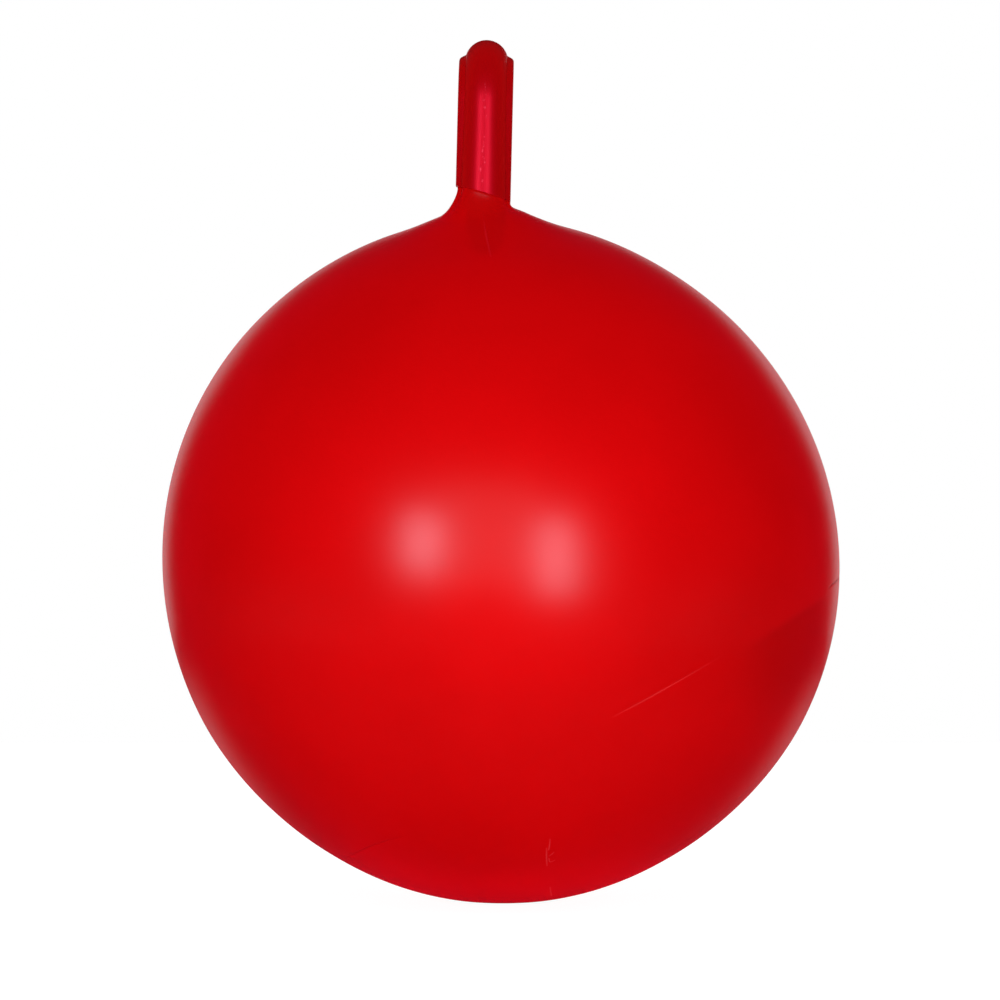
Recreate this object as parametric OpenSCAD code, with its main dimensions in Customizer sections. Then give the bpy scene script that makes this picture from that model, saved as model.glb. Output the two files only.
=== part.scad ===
// Hopper ball: a hollow soft ball with one upright loop handle on top, carried by a flared base.
// The ball rests on the floor at z = 0 with its centre above the origin. The loop stands in a
// y-z plane, so it is seen edge-on from the front (-y), and the air valve is at the back (+y).

/* [Ball] */
// Outside diameter of the blown-up ball
ball_d = 450; // [400:5:660]
// Wall thickness of the ball
ball_wall = 1; // [0.8:0.1:2]
// Radius of the flat that the ball's own weight presses on the floor
patch_r = 22; // [12:1:36]

/* [Handle] */
// Height of the loop's top above the ball's top
handle_rise = 119.7; // [105:0.1:140]
// Depth of the loop over both legs, outside
loop_depth = 128; // [116:1:144]
// Outside radius of the loop's two upper bends
bend_r = 42; // [36:1:50]
// Width of the grip across its shoulders
grip_w = 36; // [32:0.5:42]
// Thickness of the grip from the hand side to the crown of the ridge
grip_t = 30.6; // [27:0.2:33]
// Width of the domed ridge on the outer side of the loop
ridge_w = 28.4; // [24:0.2:29]
// How far the ridge stands out of the shoulders
ridge_out = 10.6; // [8:0.2:12]
// Radius of the shoulder edges beside the ridge
shoulder_r = 3; // [2:0.1:3.6]
// Radius of the two edges on the hand side
palm_r = 8; // [6:0.5:9]
// Wall thickness of the hollow handle
handle_wall = 3; // [2:0.1:4]
// Sideways place of the handle on the ball, where it meets the necks
handle_shift = -11; // [-14:0.5:14]
// Sideways lean of the handle, in degrees
handle_lean = 1.4; // [-3:0.1:3]

/* [Necks] */
// Height of the seat where the handle meets the necks, above the ball's top
neck_rise = 16.4; // [14:0.1:20]
// Slant of that seat, down to the right, in degrees
seat_slant = 15; // [0:1:18]
// How far the handle's rim stands out over the neck
lip = 0.8; // [0.4:0.1:1.6]
// Sideways place of the necks under the handle's legs
neck_shift = 0.6; // [0:0.1:0.8]
// How far the flare of each neck spreads over the ball, from the middle of its leg
neck_reach = 72; // [60:1:80]
// Wall thickness of the necks
neck_wall = 2.6; // [2:0.1:3.2]
// Height of the spigots that stand up inside the handle's legs
spigot_h = 16; // [10:1:24]
// Squareness of the neck's outline at the seat, where 2 is an ellipse
neck_power = 3; // [2:0.1:4]

/* [Valve] */
// Height of the valve on the back of the ball, in degrees above the middle
valve_rise = 20; // [5:1:45]
// Diameter of the hole in the ball's wall for the valve seat
seat_d = 26; // [22:0.5:30]
// Diameter of the seat's flange inside the ball
seat_flange_d = 38; // [34:0.5:44]
// Thickness of the seat's flange
seat_flange_t = 2.4; // [1.5:0.1:3]
// Diameter of the seat's boss inside the ball
boss_d = 18; // [15:0.5:20]
// Length of the valve seat along its axis
seat_len = 18; // [14:0.5:24]
// Diameter of the air hole
bore_d = 10; // [8:0.1:11]
// Diameter of the plug's cap
cap_d = 19; // [16:0.5:20]
// Thickness of the plug's cap
cap_t = 2; // [1.5:0.1:2.6]
// Length of the plug's stem, cap not counted
stem_len = 15; // [12:0.5:16]
// Length of the plug's tapered tip
tip_len = 4; // [2:0.5:6]

/* [Fits] */
// Gap between pieces that are bonded together
bond_gap = 0.05; // [0.02:0.01:0.1]
// Radial gap between the plug's stem and the air hole
plug_gap = 0.05; // [0.02:0.01:0.1]
// Radial gap between the plug's cap and its dish
cap_gap = 0.3; // [0.1:0.05:0.5]

/* [Hidden] */

$fn = 96;
// Facets round the ball, fine enough for the thin hem of the base to lie on it
ball_fn = 360;

// The ball
ball_r = ball_d / 2;
inner_r = ball_r - ball_wall;
centre_z = sqrt(ball_r * ball_r - patch_r * patch_r);
pole_z = centre_z + ball_r;
ball_red = [0.80, 0.03, 0.03];

// The handle, in a frame that stands on the middle of its seat
seat_z = pole_z + neck_rise;
loop_h = handle_rise - neck_rise;
leg_y = (loop_depth - grip_t) / 2;
ridge_r = ridge_w / 2;
body_t = grip_t - ridge_out;
handle_red = [0.66, 0.02, 0.04];

// The necks: how the skirt's two middle control points lie between the seat and the ball
neck_half_x = grip_w / 2 - lip;
neck_half_y = grip_t / 2 - lip;
shank_height_share = 0.12;
skirt_height_share = 0.36;
skirt_place_share = 0.42;
// How deep the skirt's hem dips under the ball's skin, so that the two cross at an angle
hem_dip = 2.5;
// How far the spigots' roots reach down below the middle of the seat, into the neck's top wall
spigot_root = grip_w / 2 * tan(seat_slant) + neck_wall / 2;
// Steps round a neck and down it
neck_turns = 40;
neck_steps = 9;

// The valve, along its axis from the ball's centre
seat_r = seat_d / 2;
bore_r = bore_d / 2;
cap_r = cap_d / 2;
stem_r = bore_r - plug_gap;
tip_r_share = 0.72;
dish_r = cap_r + cap_gap;
// Height of the flush rim, and of the dish's floor, from the ball's centre
rim_s = sqrt(ball_r * ball_r - seat_r * seat_r);
dish_floor_s = rim_s - cap_t;
// Thickness of the dish's floor
floor_t = 1.6;
// The finger notch beside the plug's cap
notch_r = 2.4;
// The shallow hollow in the plug's cap and the gate mark in its middle
hollow_r_share = 0.74;
hollow_t = 0.6;
gate_r = 1.6;
plug_red = [0.72, 0.02, 0.03];
seat_red = [0.74, 0.03, 0.03];

// Overrun of every cut
over = 1;

function sphere_z(r, x, y) = centre_z + sqrt(r * r - x * x - y * y);

function power_wave(w) = sign(w) * pow(abs(w), 2 / neck_power);

function bezier(a, b, c, d, t) =
    pow(1 - t, 3) * a + 3 * t * pow(1 - t, 2) * b + 3 * t * t * (1 - t) * c + t * t * t * d;

// From the handle's leaning frame to the ball's
function leaned(p) = [
    handle_shift + p.x * cos(handle_lean) + p.z * sin(handle_lean),
    p.y,
    seat_z - p.x * sin(handle_lean) + p.z * cos(handle_lean)
];

// A point of a neck's skin at angle a, from the seat (t = 0) out and down to the hem (t = 1).
// inset moves the skin inwards, for the hollow inside the neck.
function neck_point(side, a, t, inset) =
    let (
        across = neck_shift + (neck_half_x - inset) * power_wave(cos(a)),
        along = side * leg_y + (neck_half_y - inset) * power_wave(sin(a)),
        rim = leaned([across, along, -across * tan(seat_slant) - inset]),
        out = [cos(a), sin(a)],
        hem_x = handle_shift + neck_reach * out.x,
        hem_y = side * leg_y + neck_reach * out.y,
        skirt_x = rim.x + (hem_x - rim.x) * skirt_place_share,
        skirt_y = rim.y + (hem_y - rim.y) * skirt_place_share,
        rim_height = rim.z - sphere_z(ball_r - inset, rim.x, rim.y),
        shank = [rim.x, rim.y, rim.z - rim_height * (1 - shank_height_share)],
        skirt = [
            skirt_x,
            skirt_y,
            sphere_z(ball_r - inset, skirt_x, skirt_y) + rim_height * skirt_height_share
        ],
        hem = [hem_x, hem_y, sphere_z(ball_r - hem_dip - inset, hem_x, hem_y)]
    )
    bezier(rim, shank, skirt, hem, t);

module neck_solid(side, inset) {
    rings = neck_steps + 1;
    seat_middle = leaned([neck_shift, side * leg_y, -neck_shift * tan(seat_slant) - inset]);
    hem_middle = [handle_shift, side * leg_y, centre_z + ball_r / 2];
    points = concat(
        [for (i = [0:neck_steps], k = [0:neck_turns - 1])
            neck_point(side, 360 * k / neck_turns, i / neck_steps, inset)],
        [seat_middle, hem_middle]
    );
    top = rings * neck_turns;
    faces = concat(
        [for (k = [0:neck_turns - 1]) [top, (k + 1) % neck_turns, k]],
        [for (i = [0:neck_steps - 1], k = [0:neck_turns - 1])
            [i * neck_turns + k, i * neck_turns + (k + 1) % neck_turns, (i + 1) * neck_turns + k]],
        [for (i = [0:neck_steps - 1], k = [0:neck_turns - 1])
            [
                i * neck_turns + (k + 1) % neck_turns,
                (i + 1) * neck_turns + (k + 1) % neck_turns,
                (i + 1) * neck_turns + k
            ]],
        [for (k = [0:neck_turns - 1])
            [top + 1, neck_steps * neck_turns + k, neck_steps * neck_turns + (k + 1) % neck_turns]]
    );
    polyhedron(points, faces);
}

// Places its children in the handle's frame, on the middle of the seat
module on_seat() {
    translate([handle_shift, 0, seat_z]) rotate([0, handle_lean, 0]) children();
}

// Places its children on the valve's axis, with z = 0 at the ball's centre
module on_valve() {
    translate([0, 0, centre_z]) rotate([valve_rise - 90, 0, 0]) children();
}

// Section of the grip: x across, y outwards from the hand side. inset moves its outline inwards.
module grip_section(inset) {
    half = grip_w / 2;
    palm = palm_r - inset;
    edge = max(shoulder_r - inset, 0);
    edge_mid = inset + edge;
    translate([inset - half, palm_r]) square([grip_w - 2 * inset, body_t - palm_r - edge_mid]);
    translate([palm_r - half, inset]) square([grip_w - 2 * palm_r, palm_r]);
    translate([edge_mid - half, palm_r]) square([grip_w - 2 * edge_mid, body_t - palm_r - inset]);
    for (s = [-1, 1]) {
        translate([s * (half - palm_r), palm_r]) circle(r = palm);
        if (edge > 0) translate([s * (half - edge_mid), body_t - edge_mid]) circle(r = edge);
    }
    translate([0, grip_t - ridge_r]) circle(r = ridge_r - inset);
}

// Places its children at the back leg (side = 1) or, turned half round, at the front leg (side = -1)
module at_leg(side) {
    rotate([0, 0, side > 0 ? 0 : 180]) translate([0, loop_depth / 2 - grip_t, 0]) children();
}

// A quarter bend of the loop about its own centre, from the back leg's side up to the top
module bend(inset) {
    rotate([90, 0, 90]) rotate_extrude(angle = 90)
        translate([bend_r - grip_t, 0]) rotate(-90) grip_section(inset);
}

// Everything below the slanted seat, to cut the legs' feet with
module below_seat() {
    reach = loop_depth;
    rotate([0, seat_slant, 0]) translate([-reach, -reach, -reach]) cube([2 * reach, 2 * reach, reach]);
}

// The whole loop with its section moved inwards by inset. The legs run past the seat by extra.
module loop_solid(inset, extra) {
    straight = loop_depth / 2 - bend_r;
    leg = loop_h - bend_r;
    for (side = [-1, 1]) {
        at_leg(side) translate([0, 0, leg]) mirror([0, 0, 1])
            linear_extrude(leg + extra) grip_section(inset);
        rotate([0, 0, side > 0 ? 0 : 180]) translate([0, straight, leg]) bend(inset);
    }
    translate([0, straight, loop_h - grip_t]) rotate([90, 0, 0])
        linear_extrude(2 * straight) grip_section(inset);
}

module ball_shell() {
    color(ball_red) difference() {
        translate([0, 0, centre_z]) sphere(r = ball_r, $fn = ball_fn);
        difference() {
            translate([0, 0, centre_z]) sphere(r = inner_r, $fn = ball_fn);
            translate([-ball_r, -ball_r, -ball_r]) cube([ball_d, ball_d, ball_r + ball_wall]);
        }
        translate([-ball_r, -ball_r, -ball_r]) cube([ball_d, ball_d, ball_r]);
        on_valve() cylinder(r = seat_r, h = ball_d);
    }
}

module handle_base() {
    color(ball_red) difference() {
        union() {
            for (side = [-1, 1]) neck_solid(side, 0);
            on_seat() for (side = [-1, 1]) at_leg(side)
                translate([0, 0, -spigot_root]) linear_extrude(spigot_root + spigot_h)
                    grip_section(handle_wall + bond_gap);
        }
        for (side = [-1, 1]) neck_solid(side, neck_wall);
        translate([0, 0, centre_z]) sphere(r = ball_r, $fn = ball_fn);
    }
}

module handle_loop() {
    color(handle_red) on_seat() difference() {
        loop_solid(0, grip_w);
        loop_solid(handle_wall, grip_w + over);
        below_seat();
    }
}

// Half section of the valve seat: x from the valve's axis, y from the ball's centre
module seat_profile() {
    difference() {
        union() {
            intersection() {
                translate([bore_r, rim_s - seat_len])
                    square([seat_flange_d / 2 - bore_r, seat_len]);
                difference() {
                    circle(r = inner_r - bond_gap);
                    circle(r = inner_r - seat_flange_t);
                }
            }
            intersection() {
                translate([bore_r, dish_floor_s - floor_t])
                    square([seat_r - bond_gap - bore_r, cap_t + floor_t + over]);
                circle(r = ball_r);
            }
            translate([bore_r, rim_s - seat_len])
                square([boss_d / 2 - bore_r, seat_len - cap_t - floor_t / 2]);
        }
        translate([bore_r - over, dish_floor_s]) square([dish_r - bore_r + over, cap_t + 2 * over]);
    }
}

module valve_seat() {
    color(seat_red) on_valve() difference() {
        rotate_extrude() seat_profile();
        translate([dish_r, 0, dish_floor_s]) cylinder(r = notch_r, h = cap_t + over);
    }
}

module valve_plug() {
    color(plug_red) on_valve() translate([0, 0, dish_floor_s]) {
        difference() {
            cylinder(r = cap_r, h = cap_t);
            difference() {
                translate([0, 0, cap_t - hollow_t]) cylinder(r = cap_r * hollow_r_share, h = hollow_t + over);
                cylinder(r = gate_r, h = cap_t);
            }
        }
        translate([0, 0, tip_len - stem_len]) cylinder(r = stem_r, h = stem_len - tip_len);
        translate([0, 0, -stem_len]) cylinder(r1 = stem_r * tip_r_share, r2 = stem_r, h = tip_len);
    }
}

ball_shell();
handle_base();
handle_loop();
valve_seat();
valve_plug();
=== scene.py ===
"""Hopper ball in Blender: the soft satin ball with its flared necks, and the glossy loop handle.

The visual model is built over the CAD frame. The ball's skin stands for the CAD's ball shell and
handle base, the loop handle for the CAD's loop, and the valve's seat and plug stay as the CAD made
them, with better finishes. All lengths are in metres.
"""

import logging
import math
from collections.abc import Sequence
from dataclasses import dataclass
from enum import Enum

import bmesh
import bpy
from mathutils import Matrix, Vector
from mathutils.bvhtree import BVHTree
from mathutils.geometry import delaunay_2d_cdt
from mathutils.kdtree import KDTree


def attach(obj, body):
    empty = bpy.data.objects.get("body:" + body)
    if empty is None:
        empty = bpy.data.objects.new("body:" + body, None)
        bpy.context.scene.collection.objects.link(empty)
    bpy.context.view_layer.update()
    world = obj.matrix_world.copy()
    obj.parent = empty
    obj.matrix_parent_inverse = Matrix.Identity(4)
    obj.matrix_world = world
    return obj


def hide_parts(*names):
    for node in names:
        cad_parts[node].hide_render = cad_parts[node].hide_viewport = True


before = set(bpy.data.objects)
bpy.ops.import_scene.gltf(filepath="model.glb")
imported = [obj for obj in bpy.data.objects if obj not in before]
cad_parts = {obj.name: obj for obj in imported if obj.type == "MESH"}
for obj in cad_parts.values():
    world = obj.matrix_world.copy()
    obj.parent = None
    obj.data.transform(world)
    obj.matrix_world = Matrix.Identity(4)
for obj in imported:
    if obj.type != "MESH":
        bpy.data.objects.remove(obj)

LOG = logging.getLogger("hopper_ball")
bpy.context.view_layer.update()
MM = 0.001
# Points closer than this, in metres, are one point, and their places agree to so many decimals
SAME_PLACE = 1e-7
SAME_PLACE_DIGITS = 7
# Below these, a gap in a flat outline and the spread of two directions count as nothing
FLAT_GAP = 1e-9
NO_SPREAD = 1e-12

Colour = tuple[float, float, float]
Socket = bpy.types.NodeSocket


class Slot(Enum):
    """The record's material slots."""

    BALL = "ball"
    HANDLE = "handle"
    VALVE_SEAT = "valve_seat"
    VALVE_PLUG = "valve_plug"


def smooth(value: float, low: float, high: float) -> float:
    """Returns 0 below low and 1 above high, with a soft step between."""
    share = min(max((value - low) / (high - low), 0.0), 1.0)
    return share * share * (3.0 - 2.0 * share)


class Graph:
    """Builds a node tree with short calls."""

    def __init__(self, tree: bpy.types.NodeTree) -> None:
        """Keeps the tree.

        Args:
            tree: the node tree that the calls add to.
        """
        self.tree = tree

    def node(self, kind: str, inputs: dict | None = None, **settings: object) -> bpy.types.Node:
        """Adds a node.

        Args:
            kind: the node's type name.
            inputs: input name or number, with the socket to link or the value to set.
            settings: properties of the node.

        Returns:
            The new node.
        """
        node = self.tree.nodes.new(kind)
        for name, value in settings.items():
            setattr(node, name, value)
        for key, value in (inputs or {}).items():
            if isinstance(value, Socket):
                self.tree.links.new(value, node.inputs[key])
            else:
                node.inputs[key].default_value = value
        return node

    def math(self, operation: str, *values: object) -> Socket:
        """Adds a number operation and returns its result."""
        return self.node("ShaderNodeMath", dict(enumerate(values)), operation=operation).outputs[0]

    def vector(self, operation: str, *values: object) -> Socket:
        """Adds a vector operation.

        Args:
            operation: the operation's name.
            values: sockets to link or values to set, in the order of the node's inputs.

        Returns:
            The result, which is a number for lengths, distances and dot products.
        """
        found = self.node("ShaderNodeVectorMath", dict(enumerate(values)), operation=operation)
        number = operation in ("LENGTH", "DOT_PRODUCT", "DISTANCE")
        return found.outputs["Value" if number else "Vector"]

    def scaled(self, vector: object, number: object) -> Socket:
        """Returns a vector times a number."""
        found = self.node("ShaderNodeVectorMath", {0: vector, "Scale": number}, operation="SCALE")
        return found.outputs["Vector"]

    def step(self, value: object, low: object, high: object, start: object, end: object) -> Socket:
        """Adds a soft step.

        Args:
            value: what the step follows.
            low: the value at which it starts.
            high: the value at which it ends.
            start: the result up to low.
            end: the result from high on.

        Returns:
            The result.
        """
        found = self.node(
            "ShaderNodeMapRange",
            {"Value": value, "From Min": low, "From Max": high, "To Min": start, "To Max": end},
            interpolation_type="SMOOTHSTEP",
        )
        return found.outputs["Result"]

    def mixed(self, factor: object, first: object, second: object) -> Socket:
        """Returns a colour between two colours."""
        found = self.node("ShaderNodeMix", {0: factor, 6: first, 7: second}, data_type="RGBA")
        return found.outputs[2]

    def parts(self, vector: object) -> bpy.types.bpy_prop_collection:
        """Takes a vector apart and returns its numbers, under X, Y and Z."""
        return self.node("ShaderNodeSeparateXYZ", {0: vector}).outputs

    def noise(self, where: object, scale: object, detail: float, distortion: float = 0.0) -> Socket:
        """Adds noise over some coordinates and returns its number."""
        values = {"Vector": where, "Scale": scale, "Detail": detail, "Distortion": distortion}
        return self.node("ShaderNodeTexNoise", values).outputs["Fac"]

    def stored(self, geometry: object, name: object, value: object) -> Socket:
        """Keeps a number at each point of a geometry.

        Args:
            geometry: the geometry.
            name: the name that it is kept under.
            value: the number.

        Returns:
            The geometry with the number.
        """
        values = {"Geometry": geometry, "Name": name, "Value": value}
        kinds = {"data_type": "FLOAT", "domain": "POINT"}
        return self.node("GeometryNodeStoreNamedAttribute", values, **kinds).outputs[0]


def open_group(name: str, kind: str, inputs: dict, outputs: dict) -> tuple[Graph, dict, bpy.types.Node]:
    """Starts a node group.

    Args:
        name: the group's name.
        kind: the tree's type name.
        inputs: input names with their socket kind and value.
        outputs: output names with their socket kind.

    Returns:
        The graph, its input sockets by name, and its output node.
    """
    tree = bpy.data.node_groups.new(name, kind)
    for label, (socket, value) in inputs.items():
        made = tree.interface.new_socket(label, in_out="INPUT", socket_type=socket)
        if value is not None:
            made.default_value = value
    for label, socket in outputs.items():
        tree.interface.new_socket(label, in_out="OUTPUT", socket_type=socket)
    graph = Graph(tree)
    given = graph.node("NodeGroupInput")
    return graph, {label: given.outputs[label] for label in inputs}, graph.node("NodeGroupOutput")


def finish_geometry(graph: Graph, geometry: Socket, material: Socket, out: bpy.types.Node) -> None:
    """Ends a geometry tree: real geometry, smooth shading and the piece's material.

    Args:
        graph: the tree's graph.
        geometry: what the tree has made.
        material: the piece's material.
        out: the tree's output node.
    """
    real = graph.node("GeometryNodeRealizeInstances", {"Geometry": geometry})
    soft = graph.node("GeometryNodeSetShadeSmooth", {"Geometry": real.outputs[0]})
    dressed = graph.node("GeometryNodeSetMaterial", {"Geometry": soft.outputs[0], "Material": material})
    graph.tree.links.new(dressed.outputs[0], out.inputs[0])


def add_modifier(piece: bpy.types.Object, tree: bpy.types.NodeTree, values: dict) -> None:
    """Puts a geometry tree on a piece and sets its inputs.

    Args:
        piece: the piece.
        tree: the geometry tree.
        values: the tree's inputs by name. Those that aren't named keep the tree's own value.
    """
    modifier = piece.modifiers.new(tree.name, "NODES")
    modifier.node_group = tree
    for item in tree.interface.items_tree:
        if item.item_type == "SOCKET" and item.in_out == "INPUT" and item.name in values:
            modifier[item.identifier] = values[item.name]


def bake(piece: bpy.types.Object) -> None:
    """Turns the result of a piece's modifiers into its own mesh.

    Args:
        piece: the piece, which has no modifiers left afterwards.
    """
    bpy.context.view_layer.update()
    seen = piece.evaluated_get(bpy.context.evaluated_depsgraph_get())
    made = bpy.data.meshes.new_from_object(seen)
    piece.modifiers.clear()
    piece.data = made
    made.name = piece.name


def new_piece(name: str, work: bmesh.types.BMesh) -> bpy.types.Object:
    """Makes an object at the origin from a mesh under construction.

    Args:
        name: the object's name.
        work: the mesh, which is freed.

    Returns:
        The object, in the scene.
    """
    mesh = bpy.data.meshes.new(name)
    work.to_mesh(mesh)
    work.free()
    piece = bpy.data.objects.new(name, mesh)
    bpy.context.scene.collection.objects.link(piece)
    return piece


def new_line(
    name: str,
    runs: Sequence[Sequence[Vector]],
    closed: bool = False,
    strengths: Sequence[Sequence[float]] | None = None,
) -> bpy.types.Object:
    """Makes a curve object of straight runs between points.

    Args:
        name: the object's name.
        runs: the points of each run.
        closed: whether each run ends where it starts.
        strengths: a number for each point, kept as the curve's radius there.

    Returns:
        The curve object.
    """
    curve = bpy.data.curves.new(name, "CURVE")
    curve.dimensions = "3D"
    for run in runs:
        spline = curve.splines.new("POLY")
        spline.points.add(len(run) - 1)
        for point, place in zip(spline.points, run):
            point.co = (*place, 1.0)
        if strengths:
            spline.points.foreach_set("radius", strengths[len(curve.splines) - 1])
        spline.use_cyclic_u = closed
    line = bpy.data.objects.new(name, curve)
    bpy.context.scene.collection.objects.link(line)
    return line


@dataclass(frozen=True)
class PhotoCamera:
    """The camera that stands where the photograph was taken."""

    place: Vector = Vector((0.0, -2.5, 0.2656))
    # The focal length and the sensor's width in millimetres, as Blender's camera takes them
    lens: float = 135.3
    sensor: float = 36.0
    # The photograph's width and height
    pixels: float = 1000.0

    def ray(self, across: float, down: float) -> Vector:
        """Finds the direction in which the camera sees a place in the photograph.

        Args:
            across: pixels from the photograph's left side.
            down: pixels from its top.

        Returns:
            The direction, one long.
        """
        share = self.sensor / self.lens / self.pixels
        middle = self.pixels / 2
        return Vector(((across - middle) * share, 1.0, (middle - down) * share)).normalized()

    def build(self) -> None:
        """Adds the camera to the scene."""
        data = bpy.data.cameras.new("photo_camera")
        data.lens = self.lens
        data.sensor_width = self.sensor
        camera = bpy.data.objects.new("photo_camera", data)
        camera.location = self.place
        camera.rotation_euler = (math.radians(90), 0.0, 0.0)
        bpy.context.scene.collection.objects.link(camera)
        bpy.context.scene.camera = camera


@dataclass(frozen=True)
class Layout:
    """The sizes that the ball and the handle share, as the CAD has them."""

    ball_r: float = 225 * MM
    patch_r: float = 22 * MM
    wall: float = 1 * MM
    neck_rise: float = 16.4 * MM
    handle_rise: float = 119.7 * MM
    loop_depth: float = 128 * MM
    bend_r: float = 42 * MM
    grip_w: float = 36 * MM
    grip_t: float = 30.6 * MM
    handle_shift: float = -11 * MM
    handle_lean: float = math.radians(1.4)
    seat_slant: float = math.radians(15)
    valve_rise: float = math.radians(20)
    valve_hole_r: float = 13 * MM

    @property
    def centre(self) -> Vector:
        """The ball's centre."""
        return Vector((0.0, 0.0, math.sqrt(self.ball_r**2 - self.patch_r**2)))

    @property
    def seat_z(self) -> float:
        """Height of the middle of the handle's seat."""
        return self.centre.z + self.ball_r + self.neck_rise

    @property
    def leg_y(self) -> float:
        """Distance of each leg's middle from the middle of the loop."""
        return (self.loop_depth - self.grip_t) / 2

    @property
    def upright(self) -> Matrix:
        """From the handle's own frame, standing on the middle of its seat, to the ball's frame."""
        place = Matrix.Translation((self.handle_shift, 0.0, self.seat_z))
        return place @ Matrix.Rotation(self.handle_lean, 4, "Y")

    @property
    def valve_axes(self) -> Matrix:
        """From the valve's frame, with its axis along z from the ball's centre, to the ball's frame."""
        turn = Matrix.Rotation(self.valve_rise - math.radians(90), 4, "X")
        return Matrix.Translation(self.centre) @ turn


def inside(u: float, v: float, loop: Sequence[tuple[float, float]]) -> bool:
    """Says whether a point of the plane is inside a closed loop.

    Args:
        u: the point's first coordinate.
        v: its second coordinate.
        loop: the loop's points in order.

    Returns:
        True for a point inside.
    """
    odd = False
    last_u, last_v = loop[-1]
    for next_u, next_v in loop:
        if (next_v > v) != (last_v > v):
            if u < (last_u - next_u) * (v - next_v) / (last_v - next_v) + next_u:
                odd = not odd
        last_u, last_v = next_u, next_v
    return odd


def walk(edges: Sequence[bmesh.types.BMEdge]) -> list[bmesh.types.BMVert]:
    """Puts a closed run of edges in order.

    Args:
        edges: the edges, of which the first one starts the run.

    Returns:
        The run's points, each of them once.
    """
    left = set(edges[1:])
    run = [edges[0].verts[0], edges[0].verts[1]]
    while left:
        edge = next(e for e in run[-1].link_edges if e in left)
        left.remove(edge)
        run.append(edge.other_vert(run[-1]))
    return run[:-1] if run[-1] is run[0] else run


def recut(
    work: bmesh.types.BMesh,
    axes: Matrix,
    reach: float,
    loops: Sequence[Sequence[Vector]],
    margin: float,
) -> list[list[bmesh.types.BMVert]]:
    """Opens holes of exact outline in a round skin and meshes evenly up to them.

    Args:
        work: the skin.
        axes: a frame whose z axis points out through the middle of the holes.
        reach: how far from that axis the skin is meshed again.
        loops: the holes' outlines.
        margin: the distance that is kept free beside the outlines.

    Returns:
        The new points of each outline, in the order given.
    """
    back = axes.inverted()
    flat = {vert: back @ vert.co for vert in work.verts}
    near = {v for v, p in flat.items() if p.z > 0 and math.hypot(p.x, p.y) < reach}
    region = [f for f in work.faces if all(v in near for v in f.verts)]
    chosen = set(region)
    border = [e for f in region for e in f.edges if sum(g in chosen for g in e.link_faces) == 1]
    rim = walk(border)
    rim_set = set(rim)
    # A dict keeps the order, so that each run of the script gives the same mesh
    inner = list(dict.fromkeys(v for f in region for v in f.verts if v not in rim_set))
    holes = [[(p.x, p.y) for p in (back @ point for point in loop)] for loop in loops]
    tree = KDTree(sum(len(hole) for hole in holes))
    for place, (u, v) in enumerate(point for hole in holes for point in hole):
        tree.insert((u, v, 0.0), place)
    tree.balance()
    kept = []
    for vert in inner:
        u, v = flat[vert].x, flat[vert].y
        if tree.find((u, v, 0.0))[2] > margin and not any(inside(u, v, hole) for hole in holes):
            kept.append(vert.co.copy())
    bmesh.ops.delete(work, geom=region, context="FACES_ONLY")
    bmesh.ops.delete(work, geom=inner, context="VERTS")
    verts = list(rim) + [work.verts.new(co) for co in kept]
    edges = [(i, (i + 1) % len(rim)) for i in range(len(rim))]
    rings = []
    for loop in loops:
        first = len(verts)
        ring = [work.verts.new(point) for point in loop]
        verts += ring
        rings.append(ring)
        edges += [(first + i, first + (i + 1) % len(ring)) for i in range(len(ring))]
    points = [(back @ vert.co).to_2d() for vert in verts]
    outline = [(points[i].x, points[i].y) for i in range(len(rim))]
    faces = delaunay_2d_cdt(points, edges, [], 0, FLAT_GAP)[2]
    for face in faces:
        middle = sum((points[i] for i in face), Vector((0.0, 0.0))) / len(face)
        if not inside(middle.x, middle.y, outline):
            continue
        if any(inside(middle.x, middle.y, hole) for hole in holes):
            continue
        made = work.faces.new([verts[i] for i in face])
        made.normal_update()
        if made.normal.dot(axes.to_3x3().col[2]) < 0:
            made.normal_flip()
    return rings


def bridge(
    work: bmesh.types.BMesh,
    first: Sequence[bmesh.types.BMVert],
    second: Sequence[bmesh.types.BMVert],
) -> None:
    """Joins two rings with four-sided faces.

    Args:
        work: the mesh that holds both rings.
        first: the points of one ring in order.
        second: the points of the other, as many and the same way round.
    """
    for i in range(len(first)):
        j = (i + 1) % len(first)
        work.faces.new((first[i], first[j], second[j], second[i]))


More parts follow.
